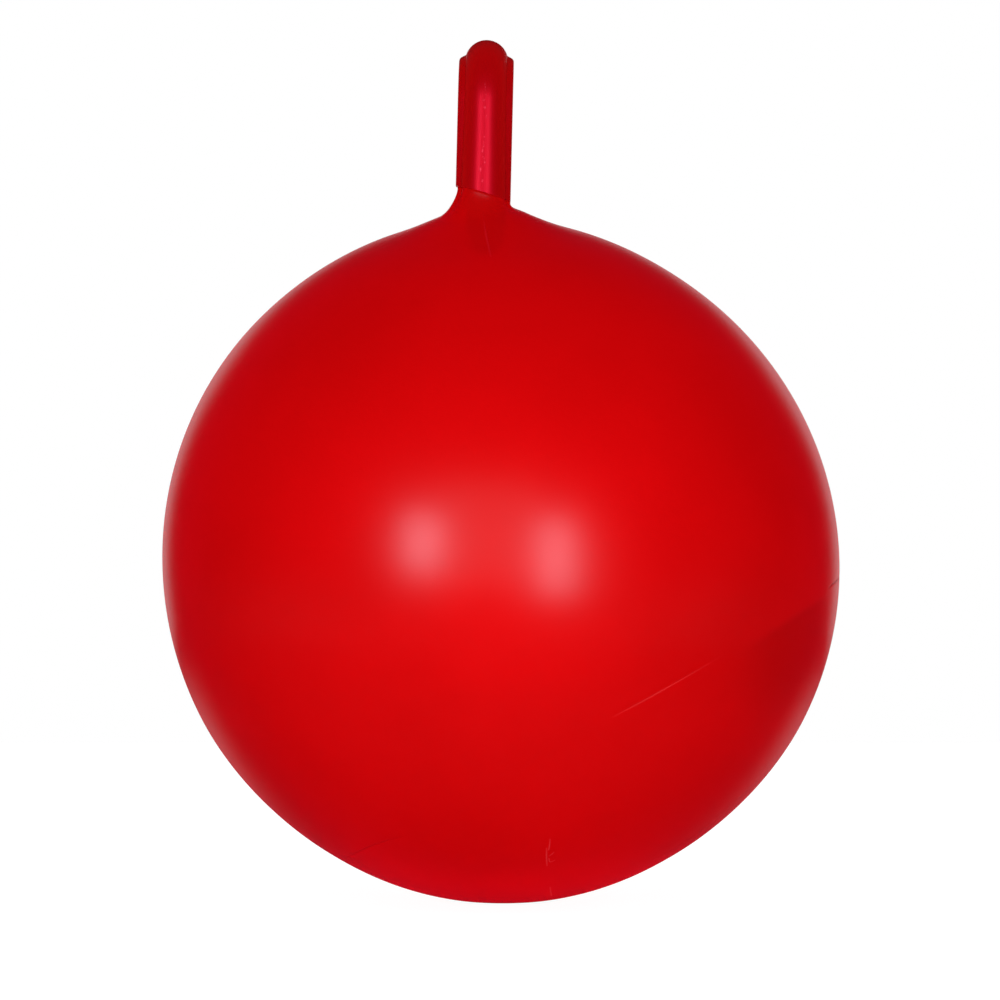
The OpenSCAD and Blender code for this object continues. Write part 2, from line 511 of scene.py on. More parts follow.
@dataclass(frozen=True)
class Neck:
    """The shape of the two necks that flare out of the ball and carry the handle."""

    # The handle's outline at its foot, about the leg's middle: across, and outwards from the loop
    outline: tuple[tuple[float, float], ...]
    # How far the rim stands back under the handle at the sides and in front, and where the front
    # begins and is full, as the sine of the angle about the leg
    lip: float = 0.8 * MM
    front_lip: float = 0.05 * MM
    front_band: tuple[float, float] = (0.1, 0.7)
    # How far each ring that closes the neck lies inside its rim, and under it
    rim_rings: tuple[tuple[float, float], ...] = ((0.25 * MM, 0.0), (1.5 * MM, 0.1 * MM))
    # How far the necks stand to the right of the legs
    shift: float = 0.6 * MM
    join_r: float = 30 * MM
    # The flare's height above the round ball at the join, and how fast it falls away
    swell: float = 6.0 * MM
    swell_power: float = 2.1
    # Inside this share of the join's radius the flare grows no more
    core_share: float = 0.5
    fade_start: float = 34 * MM
    fade_end: float = 66 * MM
    # The broad lift of the skin about both necks together
    crown: float = 2.7 * MM
    crown_start: float = 25 * MM
    crown_end: float = 150 * MM
    # How far the side hugs the upright under the rim, and the skirt at the join, at the left and right
    shank_shares: tuple[float, float] = (0.36, 0.6)
    skirt_shares: tuple[float, float] = (0.38, 0.64)
    turns: int = 112
    steps: int = 20

    def swell_at(self, lay: Layout, x: float, y: float) -> float:
        """Finds how far both necks lift the skin above the round ball.

        Args:
            lay: the shared sizes.
            x: the place in plan, across.
            y: the place in plan, along the loop.

        Returns:
            The lift.
        """
        middle = math.hypot(x - lay.handle_shift - self.shift, y)
        total = self.crown * (1.0 - smooth(middle, self.crown_start, self.crown_end))
        for side in (-1, 1):
            away = math.hypot(x - lay.handle_shift - self.shift, y - side * lay.leg_y)
            away = max(away, self.join_r * self.core_share)
            height = self.swell * (self.join_r / away) ** self.swell_power
            total += height * (1.0 - smooth(away, self.fade_start, self.fade_end))
        return total

    def skin_z(self, lay: Layout, x: float, y: float) -> float:
        """Returns the skin's height at a place in plan, outside the necks' join."""
        round_z = lay.centre.z + math.sqrt(lay.ball_r**2 - x * x - y * y)
        return round_z + self.swell_at(lay, x, y)

    def rim(self, lay: Layout, side: int, angle: float, inset: float, drop: float) -> Vector:
        """Finds a point of the neck's rim under the handle's foot.

        Args:
            lay: the shared sizes.
            side: -1 for the front leg and 1 for the back leg.
            angle: the direction from the leg's middle.
            inset: how far inside the rim the point lies.
            drop: how far under the rim it lies.

        Returns:
            The point.
        """
        across, outward = math.cos(angle), side * math.sin(angle)
        # The rim stands back under the handle's sides, but not in front
        front = smooth(outward, *self.front_band)
        lip = self.lip * (1.0 - front) + self.front_lip * front
        reach = self.outline_reach(across, outward) - lip - inset
        x = self.shift * (1.0 - front) + reach * across
        y = side * (lay.leg_y + reach * outward)
        return lay.upright @ Vector((x, y, -x * math.tan(lay.seat_slant) - drop))

    def outline_reach(self, across: float, outward: float) -> float:
        """Finds how far the handle's outline is from the leg's middle.

        Args:
            across: the direction's part across the loop.
            outward: its part outwards from the loop.

        Returns:
            The distance, or 0 where the direction misses the outline.
        """
        last_u, last_v = self.outline[-1]
        for next_u, next_v in self.outline:
            step_u, step_v = next_u - last_u, next_v - last_v
            spread = across * step_v - outward * step_u
            if abs(spread) > NO_SPREAD:
                share = (outward * last_u - across * last_v) / spread
                reach = (last_u * step_v - last_v * step_u) / spread
                if 0.0 <= share <= 1.0 and reach > 0.0:
                    return reach
            last_u, last_v = next_u, next_v
        return 0.0

    def join(self, lay: Layout, side: int, angle: float, radius: float) -> Vector:
        """Finds a point of the skin beside a neck.

        Args:
            lay: the shared sizes.
            side: -1 for the front leg and 1 for the back leg.
            angle: the direction from the leg's middle.
            radius: the distance from the leg's middle.

        Returns:
            The point.
        """
        x = lay.handle_shift + self.shift + radius * math.cos(angle)
        y = side * lay.leg_y + radius * math.sin(angle)
        return Vector((x, y, self.skin_z(lay, x, y)))

    def side_point(self, lay: Layout, side: int, angle: float, share: float) -> Vector:
        """Finds a point of the neck's side, on a curve from its rim to the join with the ball.

        Args:
            lay: the shared sizes.
            side: -1 for the front leg and 1 for the back leg.
            angle: the direction from the leg's middle.
            share: 0 at the rim and 1 at the join.

        Returns:
            The point.
        """
        top = self.rim(lay, side, angle, 0.0, 0.0)
        foot = self.join(lay, side, angle, self.join_r)
        beyond = self.join(lay, side, angle, self.join_r + MM)
        slope = (beyond - foot).normalized()
        width = (foot - top).to_2d().length
        right = (1.0 + math.cos(angle)) / 2
        shank_share = self.shank_shares[0] * (1.0 - right) + self.shank_shares[1] * right
        skirt_share = self.skirt_shares[0] * (1.0 - right) + self.skirt_shares[1] * right
        shank = top - Vector((0.0, 0.0, shank_share * (top.z - foot.z)))
        skirt = foot - slope * (skirt_share * width)
        rest = 1.0 - share
        return (
            top * rest**3
            + shank * (3 * share * rest**2)
            + skirt * (3 * share**2 * rest)
            + foot * share**3
        )


@dataclass(frozen=True)
class SkinLine:
    """A fine line on the ball's skin: a crease, a scuff or a parting line."""

    name: str
    # Places in the photograph that each run of the line passes through, and its strength there
    runs: tuple[tuple[tuple[float, float, float], ...], ...]
    # How far the line stands out of the skin, and half its width
    lift: float
    half_width: float
    # The shallow hollow below the line: its depth, its middle in the photograph and its reach
    dent: float = 0.0
    dent_spot: tuple[float, float] = (0.0, 0.0)
    dent_reach: float = 40 * MM
    # How far the line goes on round the ball, past the outline that the camera sees
    beyond: float = 0.0

    @property
    def shade(self) -> str:
        """Name of the mask of the hollow, which the finish darkens with painted shade."""
        return f"{self.name}_shade"


# A crease, with a pale painted highlight along it in the finish
CREASE = SkinLine(
    "crease",
    (
        (
            (613, 717, 0.2),
            (628, 709, 0.6),
            (645, 700, 1.0),
            (663, 690, 1.0),
            (698, 670, 0.4),
            (725, 654, 0.0),
        ),
    ),
    lift=-0.3 * MM,
    half_width=0.75 * MM,
)
# A line with a shallow hollow below it, which the finish darkens with painted shade
HOLLOW = SkinLine(
    "hollow",
    (
        (
            (725, 655, 0.0),
            (760, 633, 0.0),
            (796, 610, 0.0),
            (808, 602, 0.15),
            (818, 596, 0.3),
            (826, 591, 0.2),
        ),
    ),
    lift=-0.2 * MM,
    half_width=0.9 * MM,
    dent=0.25 * MM,
    dent_spot=(795, 638),
    dent_reach=72 * MM,
)
# A deeper crease at the outline, with painted shade along it in the finish
NOTCH = SkinLine(
    "notch",
    (((828, 588.5, 0.1), (832, 585, 0.8), (838, 580, 1.2)),),
    lift=-0.8 * MM,
    half_width=0.9 * MM,
    beyond=70 * MM,
)
# A crease low on the ball, with painted shade along it in the finish
LOW_CREASE = SkinLine(
    "low_crease",
    (((402, 836.5, 0.3), (386, 841, 0.8), (370, 846.5, 1.0), (354, 853.5, 0.8), (345, 859, 0.2)),),
    lift=-0.2 * MM,
    half_width=0.9 * MM,
)
SCUFFS = SkinLine(
    "scuffs",
    (
        ((546.5, 848, 0.6), (546.5, 857, 1.0), (547, 866, 0.7)),
        ((550, 839, 0.7), (549.5, 846, 1.0), (548.5, 850, 0.7)),
        ((549, 856, 0.7), (552, 854, 1.0), (554, 852, 0.6)),
        ((549, 858.5, 0.8), (550, 862, 1.0), (555, 860, 0.6)),
        ((550, 887, 0.7), (551.5, 896, 0.7)),
    ),
    lift=0.12 * MM,
    half_width=0.5 * MM,
)
# The parting line, with a painted highlight along it in the finish
PARTING = SkinLine(
    "parting",
    (((483.5, 213, 0.1), (484, 222, 0.2), (486, 235, 0.9), (488.6, 247, 0.9), (491, 257, 0.4)),),
    lift=0.35 * MM,
    half_width=0.7 * MM,
)
SKIN_LINES = (CREASE, HOLLOW, NOTCH, LOW_CREASE, SCUFFS, PARTING)


@dataclass(frozen=True)
class Lobe:
    """A slow wave of the ball's radius round its outline."""

    # How many waves there are all the way round, how high they are, and where one of them peaks
    order: int
    height: float
    turn: float


@dataclass
class BallSkin:
    """The blown-up ball with its two necks, as one closed skin with the valve's hole."""

    lay: Layout
    neck: Neck
    camera: PhotoCamera
    oval: Lobe = Lobe(2, 2.0 * MM, math.radians(-54.4))
    pear: Lobe = Lobe(3, 0.6 * MM, 0.0)
    # How much slimmer the ball is between its middle and the floor, and where, as the sine of
    # the angle above the middle: nothing, most, still most, nothing
    taper: float = 1.35 * MM
    taper_band: tuple[float, float, float, float] = (-1.02, -0.85, -0.8, -0.45)
    # The unevenness fades away between these distances from the ball's middle, so that the necks
    # keep their place under the handle
    neck_start: float = 229 * MM
    neck_end: float = 239 * MM
    floor_blend: float = 1.5 * MM
    # Keeps the skin inside the facets of the CAD's ball
    depth_share: float = 0.9995
    # The painted shade below the handle, on a band that runs down from the necks: its size in plan
    # past the legs, how round its corners are, between which shares of its size its edge fades, how
    # far it stands to the right of the legs, and the height above the ball's middle where it begins
    # and its rise
    shade_half_width: float = 13 * MM
    shade_half_length: float = 60 * MM
    shade_corner_power: float = 3.0
    shade_edge_shares: tuple[float, float] = (0.88, 1.12)
    shade_shift: float = 2 * MM
    shade_low: float = 180 * MM
    shade_rise: float = 20 * MM
    # The necks get the same painted shade between these heights above the ball's middle, to this share
    neck_low: float = 226 * MM
    neck_high: float = 236 * MM
    neck_shade_share: float = 0.8
    # How often the round skins are divided, outside and inside
    outer_level: int = 7
    inner_level: int = 5
    # How far from their middle the necks and the valve's hole have the skin meshed again, how far
    # beyond that the skin is lifted, and the distances kept free beside the outlines
    recut_reach: float = 150 * MM
    lift_overrun: float = 20 * MM
    valve_reach: float = 30 * MM
    neck_margin: float = 1.6 * MM
    valve_margin: float = 1.5 * MM
    lining_margin: float = 3 * MM
    # The rounded edge of the valve's hole
    edge_r: float = 0.8 * MM
    edge_steps: int = 4
    edge_depth_share: float = 0.6
    valve_turns: int = 64
    # Each edge within these distances from a line is halved, once for each distance
    refine_reaches: tuple[float, ...] = (11 * MM, 6 * MM, 3.2 * MM)
    # The distance between a line's points in pixels of the photograph, and the points and steps
    # that take a line on round the ball
    line_spacing: float = 1.5
    heading_points: int = 8
    beyond_steps: int = 30
    # A dent comes in over so many half widths below its line, and is full within this share of
    # its reach
    dent_soft: float = 8.0
    dent_full_share: float = 0.3
    lines: tuple[SkinLine, ...] = SKIN_LINES

    def uneven_tree(self) -> bpy.types.NodeTree:
        """Builds the rule that makes the ball as uneven as a blown-up one, and flat on the floor.

        Returns:
            The geometry tree.
        """
        length = "NodeSocketFloat"
        graph, given, out = open_group(
            "uneven_ball",
            "GeometryNodeTree",
            {
                "Geometry": ("NodeSocketGeometry", None),
                "Middle": ("NodeSocketVector", None),
                "Ball radius": (length, self.lay.ball_r),
                "Oval height": (length, 0.0),
                "Oval turn": (length, 0.0),
                "Pear height": (length, 0.0),
                "Pear turn": (length, 0.0),
                "Taper": (length, 0.0),
                "Neck start": (length, self.neck_start),
                "Neck end": (length, self.neck_end),
                "Floor blend": (length, self.floor_blend),
                "Leg place": ("NodeSocketVector", None),
                "Web half width": (length, self.shade_half_width),
                "Web half length": (length, self.shade_half_length),
                "Depth share": (length, self.depth_share),
                "Material": ("NodeSocketMaterial", None),
            },
            {"Geometry": "NodeSocketGeometry"},
        )
        place = graph.node("GeometryNodeInputPosition").outputs[0]
        away = graph.vector("SUBTRACT", place, given["Middle"])
        radius = graph.vector("LENGTH", away)
        out_way = graph.vector("NORMALIZE", away)
        parts = graph.parts(out_way)
        angle = graph.math("ARCTAN2", parts["Z"], parts["X"])
        squares = [graph.math("POWER", parts[axis], 2.0) for axis in ("X", "Z")]
        spread = graph.math("SQRT", graph.math("ADD", *squares))
        waves = []
        for label, lobe in (("Oval", self.oval), ("Pear", self.pear)):
            turned = graph.math("SUBTRACT", angle, given[f"{label} turn"])
            wave = graph.math("COSINE", graph.math("MULTIPLY", turned, float(lobe.order)))
            full = graph.math("MULTIPLY", wave, graph.math("POWER", spread, float(lobe.order)))
            waves.append(graph.math("MULTIPLY", full, given[f"{label} height"]))
        low, full_low, full_high, high = self.taper_band
        lower = graph.step(parts["Z"], low, full_low, 0.0, 1.0)
        upper_end = graph.step(parts["Z"], full_high, high, 1.0, 0.0)
        slim = graph.math("MULTIPLY", graph.math("MULTIPLY", lower, upper_end), given["Taper"])
        uneven = graph.math("SUBTRACT", graph.math("ADD", *waves), slim)
        held = graph.step(radius, given["Neck start"], given["Neck end"], 1.0, 0.0)
        push = graph.math("MULTIPLY", uneven, held)
        moved = graph.vector("ADD", place, graph.scaled(out_way, push))
        moved_parts = graph.parts(moved)
        depth = graph.math("SUBTRACT", given["Ball radius"], radius)
        floor = graph.math("MAXIMUM", depth, 0.0)
        ends = {
            "X": moved_parts["X"],
            "Y": graph.math("MULTIPLY", moved_parts["Y"], given["Depth share"]),
            "Z": graph.math("SMOOTH_MAX", moved_parts["Z"], floor, given["Floor blend"]),
        }
        final = graph.node("ShaderNodeCombineXYZ", ends).outputs[0]
        shaped = graph.node("GeometryNodeSetPosition", {"Geometry": given["Geometry"], "Position": final})
        marked = graph.stored(shaped.outputs[0], "web", self.handle_shade_mask(graph, given, place))
        finish_geometry(graph, marked, given["Material"], out)
        return graph.tree

    def handle_shade_mask(self, graph: Graph, given: dict, place: Socket) -> Socket:
        """Adds the mask of the painted shade below the handle and on the necks, which the finish reads.

        Args:
            graph: the tree's graph.
            given: the tree's inputs by name.
            place: the skin's place while the ball is still round.

        Returns:
            The mask, 1 in the painted shade and 0 away from it.
        """
        spot = graph.parts(place)
        leg = graph.parts(given["Leg place"])
        along = graph.math("SUBTRACT", graph.math("ABSOLUTE", spot["Y"]), leg["Y"])
        across = graph.math("SUBTRACT", spot["X"], leg["X"])
        sideways = graph.math("DIVIDE", across, given["Web half width"])
        lengthways = graph.math("DIVIDE", along, given["Web half length"])
        sizes = [graph.math("ABSOLUTE", way) for way in (sideways, lengthways)]
        powers = [graph.math("POWER", size, self.shade_corner_power) for size in sizes]
        reach = graph.math("POWER", graph.math("ADD", *powers), 1.0 / self.shade_corner_power)
        risen = graph.math("ADD", leg["Z"], self.shade_rise)
        upper = graph.step(spot["Z"], leg["Z"], risen, 0.0, 1.0)
        tongue = graph.math("MULTIPLY", graph.step(reach, *self.shade_edge_shares, 1.0, 0.0), upper)
        over = graph.math("SUBTRACT", spot["Z"], graph.parts(given["Middle"])["Z"])
        neck = graph.step(over, self.neck_low, self.neck_high, 0.0, self.neck_shade_share)
        return graph.math("MAXIMUM", tongue, neck)

    def line_tree(self) -> bpy.types.NodeTree:
        """Builds the rule that draws a fine line into a skin, with a shallow dent below it.

        Returns:
            The geometry tree.
        """
        length = "NodeSocketFloat"
        graph, given, out = open_group(
            "skin_line",
            "GeometryNodeTree",
            {
                "Geometry": ("NodeSocketGeometry", None),
                "Line": ("NodeSocketObject", None),
                "Lift": (length, 0.0),
                "Half width": (length, 1 * MM),
                "Dent": (length, 0.0),
                "Dent middle": ("NodeSocketVector", None),
                "Dent reach": (length, 30 * MM),
                "Mark": ("NodeSocketString", ""),
                "Shade": ("NodeSocketString", ""),
                "Material": ("NodeSocketMaterial", None),
            },
            {"Geometry": "NodeSocketGeometry"},
        )
        place = graph.node("GeometryNodeInputPosition").outputs[0]
        normal = graph.node("GeometryNodeInputNormal").outputs[0]
        info = graph.node("GeometryNodeObjectInfo", {"Object": given["Line"]}, transform_space="RELATIVE")
        # A line's strength is kept as its curve's radius
        radius = graph.node("GeometryNodeInputRadius").outputs[0]
        kept = graph.stored(info.outputs["Geometry"], "strength", radius)
        wire = graph.node("GeometryNodeCurveToMesh", {"Curve": kept}).outputs[0]
        sample = {"Geometry": wire, "Sample Position": place}
        near = graph.node("GeometryNodeProximity", sample, target_element="EDGES")
        away = near.outputs["Distance"]
        index = graph.node("GeometryNodeSampleNearest", sample, domain="POINT")
        told = graph.node("GeometryNodeInputNamedAttribute", {"Name": "strength"}, data_type="FLOAT")
        strength = graph.node(
            "GeometryNodeSampleIndex",
            {"Geometry": wire, "Value": told.outputs[0], "Index": index.outputs[0]},
            data_type="FLOAT",
            domain="POINT",
        ).outputs[0]
        shape = graph.math("MULTIPLY", graph.step(away, 0.0, given["Half width"], 1.0, 0.0), strength)
        side = graph.vector("SUBTRACT", place, near.outputs["Position"])
        side_z = graph.parts(side)["Z"]
        soft = graph.math("MULTIPLY", given["Half width"], self.dent_soft)
        below = graph.step(graph.math("MULTIPLY", side_z, -1.0), 0.0, soft, 0.0, 1.0)
        gap = graph.vector("DISTANCE", place, given["Dent middle"])
        full = graph.math("MULTIPLY", given["Dent reach"], self.dent_full_share)
        basin = graph.step(gap, full, given["Dent reach"], 1.0, 0.0)
        dented = graph.math("MULTIPLY", below, basin)
        push = graph.math(
            "SUBTRACT",
            graph.math("MULTIPLY", shape, given["Lift"]),
            graph.math("MULTIPLY", dented, given["Dent"]),
        )
        marked = given["Geometry"]
        # The line's mask carries the finish's tones, and the dent's mask the painted shade in the hollow
        for name, mask in ((given["Mark"], shape), (given["Shade"], dented)):
            marked = graph.stored(marked, name, mask)
        shaped = graph.node(
            "GeometryNodeSetPosition",
            {"Geometry": marked, "Offset": graph.scaled(normal, push)},
        )
        finish_geometry(graph, shaped.outputs[0], given["Material"], out)
        return graph.tree

    def round_skin(self, level: int, radius: float) -> bmesh.types.BMesh:
        """Makes an even round skin about the ball's centre.

        Args:
            level: how often the skin is divided.
            radius: the skin's radius.

        Returns:
            The skin, under construction.
        """
        work = bmesh.new()
        bmesh.ops.create_icosphere(work, subdivisions=level, radius=radius)
        bmesh.ops.translate(work, verts=work.verts, vec=self.lay.centre)
        return work

    def valve_ring(self, radius: float, skin_r: float, drop: float) -> list[Vector]:
        """Lays a ring of points round the valve's axis.

        Args:
            radius: the ring's radius.
            skin_r: the radius of the round skin that the ring lies in.
            drop: how far under that skin the ring lies.

        Returns:
            The ring's points.
        """
        height = math.sqrt(skin_r**2 - radius**2) - drop
        ring = []
        for i in range(self.valve_turns):
            angle = math.tau * i / self.valve_turns
            point = Vector((radius * math.cos(angle), radius * math.sin(angle), height))
            ring.append(self.lay.valve_axes @ point)
        return ring

    def add_necks(self, work: bmesh.types.BMesh) -> None:
        """Opens the ball's top round both legs and raises the necks there.

        Args:
            work: the outer skin.
        """
        neck, lay = self.neck, self.lay
        angles = [math.tau * i / neck.turns for i in range(neck.turns)]
        loops = [[neck.join(lay, side, a, neck.join_r) for a in angles] for side in (-1, 1)]
        top_axes = Matrix.Translation(lay.centre)
        for vert in work.verts:
            away = vert.co - lay.centre
            if away.z > 0 and math.hypot(away.x, away.y) < self.recut_reach + self.lift_overrun:
                vert.co.z += neck.swell_at(lay, vert.co.x, vert.co.y)
        rings = recut(work, top_axes, self.recut_reach, loops, self.neck_margin)
        for side, ring in zip((-1, 1), rings):
            last = ring
            for step in range(neck.steps - 1, -1, -1):
                share = step / neck.steps
                fresh = [work.verts.new(neck.side_point(lay, side, a, share)) for a in angles]
                bridge(work, last, fresh)
                last = fresh
            for inset, drop in neck.rim_rings:
                fresh = [work.verts.new(neck.rim(lay, side, a, inset, drop)) for a in angles]
                bridge(work, last, fresh)
                last = fresh
            work.faces.new(last)

    def add_inside(self, work: bmesh.types.BMesh) -> None:
        """Adds the inner side of the wall and joins it to the outer one at the valve's hole.

        Args:
            work: the outer skin.
        """
        lay = self.lay
        edge = lay.valve_hole_r + self.edge_r
        opening = self.valve_ring(edge, lay.ball_r, 0.0)
        last = recut(work, lay.valve_axes, self.valve_reach, [opening], self.valve_margin)[0]
        for step in range(1, self.edge_steps + 1):
            angle = math.radians(90 * step / self.edge_steps)
            radius = edge - self.edge_r * math.sin(angle)
            drop = self.edge_r * (1 - math.cos(angle)) * self.edge_depth_share
            fresh = [work.verts.new(p) for p in self.valve_ring(radius, lay.ball_r, drop)]
            bridge(work, last, fresh)
            last = fresh
        lining = self.round_skin(self.inner_level, lay.ball_r - lay.wall)
        hole = self.valve_ring(lay.valve_hole_r, lay.ball_r - lay.wall, 0.0)
        recut(lining, lay.valve_axes, self.valve_reach, [hole], self.lining_margin)
        bmesh.ops.reverse_faces(lining, faces=lining.faces)
        before = set(work.verts)
        spare = bpy.data.meshes.new("lining")
        lining.to_mesh(spare)
        lining.free()
        work.from_mesh(spare)
        bpy.data.meshes.remove(spare)
        fresh = [vert for vert in work.verts if vert not in before]
        places = {tuple(round(c, SAME_PLACE_DIGITS) for c in vert.co): vert for vert in fresh}
        inner_ring = [places[tuple(round(c, SAME_PLACE_DIGITS) for c in point)] for point in hole]
        bridge(work, last, inner_ring)

    def trace(self, tree: BVHTree, spot: tuple[float, float]) -> Vector:
        """Finds the place on the skin that the camera sees.

        Args:
            tree: the skin.
            spot: a place in the photograph, in pixels from its left and its top.

        Returns:
            The place there, or the nearest one where the camera looks past the ball.
        """
        way = self.camera.ray(*spot)
        hit = tree.ray_cast(self.camera.place, way)[0]
        if hit is None:
            along = (self.lay.centre - self.camera.place).dot(way)
            hit = tree.find_nearest(self.camera.place + way * along)[0]
        return hit

    def line_points(self, tree: BVHTree, line: SkinLine) -> tuple[list[list[Vector]], list[list[float]]]:
        """Returns each run of a line as close points on the skin.

        Args:
            tree: the skin.
            line: the line to lay.

        Returns:
            The runs, and the line's strength at each of their points.
        """
        laid, strengths = [], []
        for spots in line.runs:
            places = [Vector(spot) for spot in spots]
            padded = [2 * places[0] - places[1], *places, 2 * places[-1] - places[-2]]
            run, told = [], []
            for k in range(len(places) - 1):
                a, b, c, d = padded[k : k + 4]
                steps = max(2, int((c - b).to_2d().length / self.line_spacing))
                for step in range(steps + (k == len(places) - 2)):
                    t = step / steps
                    bent = (2 * a - 5 * b + 4 * c - d) * t**2 + (3 * b - a - 3 * c + d) * t**3
                    spot = 0.5 * (2 * b + (c - a) * t + bent)
                    run.append(self.trace(tree, (spot.x, spot.y)))
                    told.append(max(spot.z, 0.0))
            if line.beyond:
                more = self.carry_on(tree, run, line.beyond)
                told += [told[-1] * (1.0 - place / len(more)) for place in range(len(more))]
                run += more
            laid.append(run)
            strengths.append(told)
        return laid, strengths

    def carry_on(self, tree: BVHTree, run: list[Vector], length: float) -> list[Vector]:
        """Takes a run on round the ball, out of the camera's sight.

        Args:
            tree: the skin.
            run: the run's points, whose last ones give its heading.
            length: how far it goes on.

        Returns:
            The further points.
        """
        start = (run[-1] - self.lay.centre).normalized()
        earlier = (run[-self.heading_points] - self.lay.centre).normalized()
        axis = earlier.cross(start).normalized()
        more = []
        for step in range(1, self.beyond_steps + 1):
            turn = Matrix.Rotation(length / self.lay.ball_r * step / self.beyond_steps, 3, axis)
            more.append(tree.find_nearest(self.lay.centre + (turn @ start) * self.lay.ball_r)[0])
        return more

    def refine(self, work: bmesh.types.BMesh, points: Sequence[Vector]) -> None:
        """Makes the mesh fine along the lines.

        Args:
            work: the skin.
            points: the points of all lines.
        """
        tree = KDTree(len(points))
        for place, point in enumerate(points):
            tree.insert(point, place)
        tree.balance()
        for reach in self.refine_reaches:
            old = set(work.verts)
            faces = [f for f in work.faces if tree.find(f.calc_center_median())[2] < reach]
            edges = list({e for f in faces for e in f.edges})
            bmesh.ops.subdivide_edges(work, edges=edges, cuts=1, use_grid_fill=True)
            bmesh.ops.triangulate(work, faces=[f for f in work.faces if len(f.verts) > 4])
            for vert in work.verts:
                if vert in old:
                    continue
                # A point in the middle of an old edge goes out onto the round skin
                lengths = [e.calc_length() for e in vert.link_edges if e.other_vert(vert) in old]
                half = min(lengths, default=0.0)
                way = (vert.co - self.lay.centre).normalized()
                vert.co += way * (half * half / (2 * self.lay.ball_r))

    def build(self, material: bpy.types.Material) -> bpy.types.Object:
        """Builds the skin.

        Args:
            material: the skin's finish.

        Returns:
            The finished piece.
        """
        work = self.round_skin(self.outer_level, self.lay.ball_r)
        self.add_necks(work)
        self.add_inside(work)
        piece = new_piece("hopper_skin", work)
        shade_x, shade_z = self.lay.handle_shift + self.shade_shift, self.lay.centre.z + self.shade_low
        leg_place = Vector((shade_x, self.lay.leg_y, shade_z))
        add_modifier(
            piece,
            self.uneven_tree(),
            {
                "Middle": self.lay.centre,
                "Oval height": self.oval.height,
                "Oval turn": self.oval.turn,
                "Pear height": self.pear.height,
                "Pear turn": self.pear.turn,
                "Taper": self.taper,
                "Leg place": leg_place,
                "Material": material,
            },
        )
        bake(piece)
        work = bmesh.new()
        work.from_mesh(piece.data)
        tree = BVHTree.FromBMesh(work)
        laid = {line.name: self.line_points(tree, line) for line in self.lines}
        self.refine(work, [p for runs, _ in laid.values() for run in runs for p in run])
        work.to_mesh(piece.data)
        work.free()
        line_tree = self.line_tree()
        guides = []
        for line in self.lines:
            runs, strengths = laid[line.name]
            guide = new_line(f"{line.name}_guide", runs, strengths=strengths)
            guides.append(guide)
            add_modifier(
                piece,
                line_tree,
                {
                    "Line": guide,
                    "Lift": line.lift,
                    "Half width": line.half_width,
                    "Dent": line.dent,
                    "Dent middle": self.trace(tree, line.dent_spot) if line.dent else self.lay.centre,
                    "Dent reach": line.dent_reach,
                    "Mark": line.name,
                    "Shade": line.shade,
                    "Material": material,
                },
            )
        bake(piece)
        for guide in guides:
            bpy.data.objects.remove(guide)
        LOG.info("hopper_skin: %d faces", len(piece.data.polygons))
        return piece


